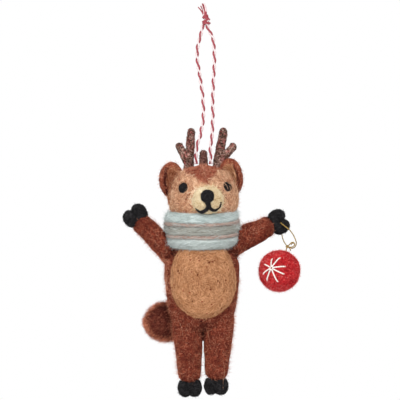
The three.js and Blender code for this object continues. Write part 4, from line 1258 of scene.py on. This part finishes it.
# The right cuff is darker than the left: painted shade on the right arm
CUFFS = {
    "arm_left": [cuff((0.1, 0.8), outward_flow(-15, 0, -115), within(-37, -28.5, -103, -92))],
    "arm_right": [cuff((0.0, 0.6), outward_flow(15, 0, -108), within(30.5, 39, -102, -90))],
}
HEAD_WOOL = [
    lying(1.3, 2.8, 0.3, mottle=0.3),
    fuzz(1.4, 1.3, palette="rust_fuzz", where=clear_of_twine),
    lying(0.15, 4, 0.16, shades=(0.1, 0.7), palette="rust_fuzz"),
    fuzz(0.3, 2.4, 0.07, palette="rust_fuzz", where=clear_of_twine),
    lying(0.2, 3.4, 0.13, shades=(0.2, 0.7), palette="tan_felt", where=within(-16, 16, -82, -69)),
]
MASK_WOOL = [
    lying(1.1, 2.4, 0.28, mottle=0.25),
    lying(0.5, 2, 0.22, shades=(0.0, 0.25), mottle=0.25),
    fuzz(0.9, 1.2),
    lying(3, 2.2, 0.3, lift=0.3, palette="ear_lining_left", where=beyond(-1, -84, 15.6, -9, -87)),
]
TUMMY_RINGS = round_flow(FIGURE_X, -127, 8)
TUMMY_WOOL = [
    lying(1.3, 2.6, 0.26, flow=TUMMY_RINGS, spread=24, curl=0.16, shades=(0.3, 0.9), mottle=0.2),
    lying(0.4, 1.8, 0.22, flow=TUMMY_RINGS, spread=25, curl=0.12, shades=(0.1, 0.4), mottle=0.2),
    # Dark specks for the needle pits: painted shade in the holes
    lying(0.035, 0.8, 0.8, shades=(0.3, 0.7), palette="brown_felt"),
    fuzz(0.9, 1.1),
]
MUZZLE_WOOL = [
    lying(1.4, 3, 0.3, flow=outward_flow(1.7, -17, -84.5), spread=50, shades=(0.2, 1.0)),
    fuzz(1.0, 1.2),
]
SMALL_WOOL = [lying(0.9, 2, 0.3), fuzz(0.8, 0.9)]
EAR_WOOL = [lying(1.2, 2.4, 0.28, mottle=0.7), fuzz(1.8, 1.4, palette="rust_fuzz")]
LINING_WOOL = {
    palette: [
        lying(1.4, 2.6, 0.3, flow=upright_flow, spread=35, palette=palette), fuzz(0.6, 1, palette=palette),
    ]
    for palette in LININGS
}
ANTLER_WOOL = [
    lying(1.2, 0.8, 0.36),
    lying(2, 0.9, 0.42, shades=(-0.3, 0.0)),
    lying(1.5, 0.8, 0.3, shades=(0.4, 0.9)),
    lying(1.9, 0.9, 0.42, palette="antler_rose", where=patchy(2.2, 0.0)),
    fuzz(1.2, 0.7),
]
CENTRE_POINT_WOOL = [
    lying(1.6, 0.8, 0.34, palette="antler_shade"),
    lying(1.1, 0.8, 0.34, shades=(-0.1, 0.15)),
    fuzz(1.2, 0.7),
]
TAIL_WOOL = [
    lying(1.2, 3, 0.3, palette="tail", shades=(0.1, 0.45)),
    brushed(2.2, 3.2, 0.14, stand=0.5, shades=(0.1, 0.45)),
    # Painted backlight glow: light strands round the tail's outer rim
    brushed(6, 2.8, 0.1, stand=0.6, shades=(0.5, 1.0), where=beyond(-20, -147, 7)),
    # Painted shadow of the torso and leg: dark strands on the tail next to them
    lying(1.3, 2, 0.26, palette="tail", shades=(-0.3, 0.1), lift=0.5, where=within(-25, -15, -154, -140, 3)),
]
BALL_WOOL = [lying(1.2, 2.2, 0.26, mottle=0.3), fuzz(2.2, 0.9, palette="red_fuzz")]
SCARF_SIDES = [within(-24, -16.8, -112, -88), within(15, 22, -112, -88)]
SCARF_WOOL = [
    *[
        wound_fibres(1.1, palette=palette, where=on_turn(turn), mottle=0.3)
        for turn, palette in enumerate(TURN_PALETTES)
    ],
    *[loose_ends(1.3, 1.9, palette, on_turn(turn)) for turn, palette in enumerate(TURN_PALETTES)],
    *[
        fuzz(1.2, 1.7, 0.07, palette=palette, where=on_turn(turn))
        for turn, palette in enumerate(TURN_FUZZ_PALETTES)
    ],
    wound_fibres(0.1, 6, 0.12, points=7, spread=28, curl=0.15, palette="pale_roving", lift=0.2),
    # Pale fuzz at the scarf's left and right ends: painted glow of backlit fibres
    *[fuzz(1.2, 2.2, palette="pale_roving", where=side) for side in SCARF_SIDES],
]
STRIPE_WOOL = [
    wound_fibres(1.8, 5, 0.24, points=7, spread=16, curl=0.1),
    wound_fibres(0.5, 5, 0.14, points=7, spread=24, curl=0.15, lift=0.3, palette="dim_roving"),
    loose_ends(2.4, 1.7, "stripe_yarn"),
]
# Piece, slot, layers, what the strands lie on if not the piece itself, and how many of its faces show
wool_plan = [
    *[
        (piece, "brown_felt", [*BODY_WOOL, *CUFFS.get(node, [])], body_walk, faces)
        for node, (piece, faces) in body_pieces.items()
    ],
    (head, "rust_felt", HEAD_WOOL, head_walk, head_faces),
    (mask, "tan_felt", MASK_WOOL, head_walk, mask_faces),
    (tummy, "tummy_felt", TUMMY_WOOL, body_walk, None),
    (muzzle, "cream_felt", MUZZLE_WOOL, head_walk, muzzle_faces),
    *[(piece, "black_felt", SMALL_WOOL, None, None) for piece in (nose, mouth, *eyes, *hooves)],
    *[(ear, "ear_felt", EAR_WOOL, head_walk, None) for ear in ears],
    *[(piece, "lining_felt", wool, head_walk, None) for piece, wool in zip(linings, LINING_WOOL.values())],
    *[(antler, "antler_felt", ANTLER_WOOL, None, None) for antler in antlers],
    (centre_point, "antler_felt", CENTRE_POINT_WOOL, None, None),
    (tail, "brown_felt", TAIL_WOOL, None, None),
    (ball, "ball_felt", BALL_WOOL, None, None),
    (scarf, "blue_roving", SCARF_WOOL, scarf_walk, None),
    (stripe, "stripe_yarn", STRIPE_WOOL, scarf_walk, None),
]
for index, (piece, slot, layers, walk, faces) in enumerate(wool_plan):
    wool_piece(piece, slot, layers, walk or mesh_tree(piece.data), index + 1, faces)


def stray_fibres(index, slot, palette, width, count, stray, points):
    rng = np.random.default_rng(STRAY_SEED + index)
    maker = MeshMaker()
    for _ in range(count):
        strayed = [Vector((x, z)) + Vector(rng.normal(0, 1, 2)) * stray for x, z in points]
        hits = [front_point(cover, x, z) for x, z in strayed]
        if None in hits:
            continue
        route = smooth_route([hit - BACK * STRAY_LIFT for hit in hits], 0.5)
        ends = np.sin(np.linspace(0, math.pi, len(route))) * (1 - STRAY_END) + STRAY_END
        maker.tube(route, [width / 2 * MM * float(end) for end in ends], 6)
    place(maker.piece(f"stray_fibres_{index}", FELTS[palette]), "figure", slot)


for index, fibres in enumerate(PALE_FIBRES):
    stray_fibres(index, "tan_felt", "tan_felt", *fibres)
for index, fibres in enumerate(EAR_FOLD_SHADE_FIBRES, len(PALE_FIBRES)):
    stray_fibres(index, "brown_felt", "fold_shade", *fibres)

# Camera, light and floor
scene.view_settings.view_transform = "Standard"
camera_data = bpy.data.cameras.new("camera")
camera_data.sensor_width = SENSOR_WIDTH
camera_data.lens = SENSOR_WIDTH * CAMERA_DISTANCE / FRAME_WIDTH
camera_data.clip_end = CAMERA_RANGE
camera = bpy.data.objects.new("camera", camera_data)
camera.location = (FRAME_X, -CAMERA_DISTANCE, FRAME_Z)
camera.rotation_euler = (math.pi / 2, 0, 0)
scene.collection.objects.link(camera)
scene.camera = camera


def lamp(name, location, size, power):
    data = bpy.data.lights.new(name, "AREA")
    data.shape = "DISK"
    data.size = size
    data.energy = power
    light = bpy.data.objects.new(name, data)
    light.location = location
    aim = Vector((0, 0, FRAME_Z)) - Vector(location)
    light.rotation_euler = aim.to_track_quat("-Z", "Y").to_euler()
    scene.collection.objects.link(light)


for name, (location, size, power) in LAMPS.items():
    lamp(name, location, size, power)

world = bpy.data.worlds.new("studio")
scene.world = world
world.use_nodes = True
tree = world.node_tree
tree.nodes.clear()
ambient = add_node(tree, "Background", "Background", Color=WHITE_LIGHT, Strength=AMBIENT_LIGHT)
seen = add_node(tree, "Background", "Background", Color=WHITE_LIGHT)
rays = tree.nodes.new("ShaderNodeLightPath")
either = rays.outputs["Is Camera Ray"]
for kind in ("Is Glossy Ray", "Is Transmission Ray"):
    larger = tree.nodes.new("ShaderNodeMath")
    larger.operation = "MAXIMUM"
    tree.links.new(either, larger.inputs[0])
    tree.links.new(rays.outputs[kind], larger.inputs[1])
    either = larger.outputs[0]
mix = tree.nodes.new("ShaderNodeMixShader")
tree.links.new(either, mix.inputs[0])
tree.links.new(ambient, mix.inputs[1])
tree.links.new(seen, mix.inputs[2])
tree.links.new(mix.outputs[0], tree.nodes.new("ShaderNodeOutputWorld").inputs["Surface"])

floor_mesh = bpy.data.meshes.new("floor")
floor_work = bmesh.new()
bmesh.ops.create_circle(floor_work, cap_ends=True, segments=96, radius=FLOOR_RADIUS)
floor_work.to_mesh(floor_mesh)
floor_work.free()
floor = new_piece("floor", floor_mesh)
floor.location = (0, 0, FLOOR_LEVEL)
floor_material, _, floor_shader = blank_material("floor", roughness=0.9)
floor_shader.inputs["Base Color"].default_value = (FLOOR_GREY, FLOOR_GREY, FLOOR_GREY, 1)
floor_mesh.materials.append(floor_material)
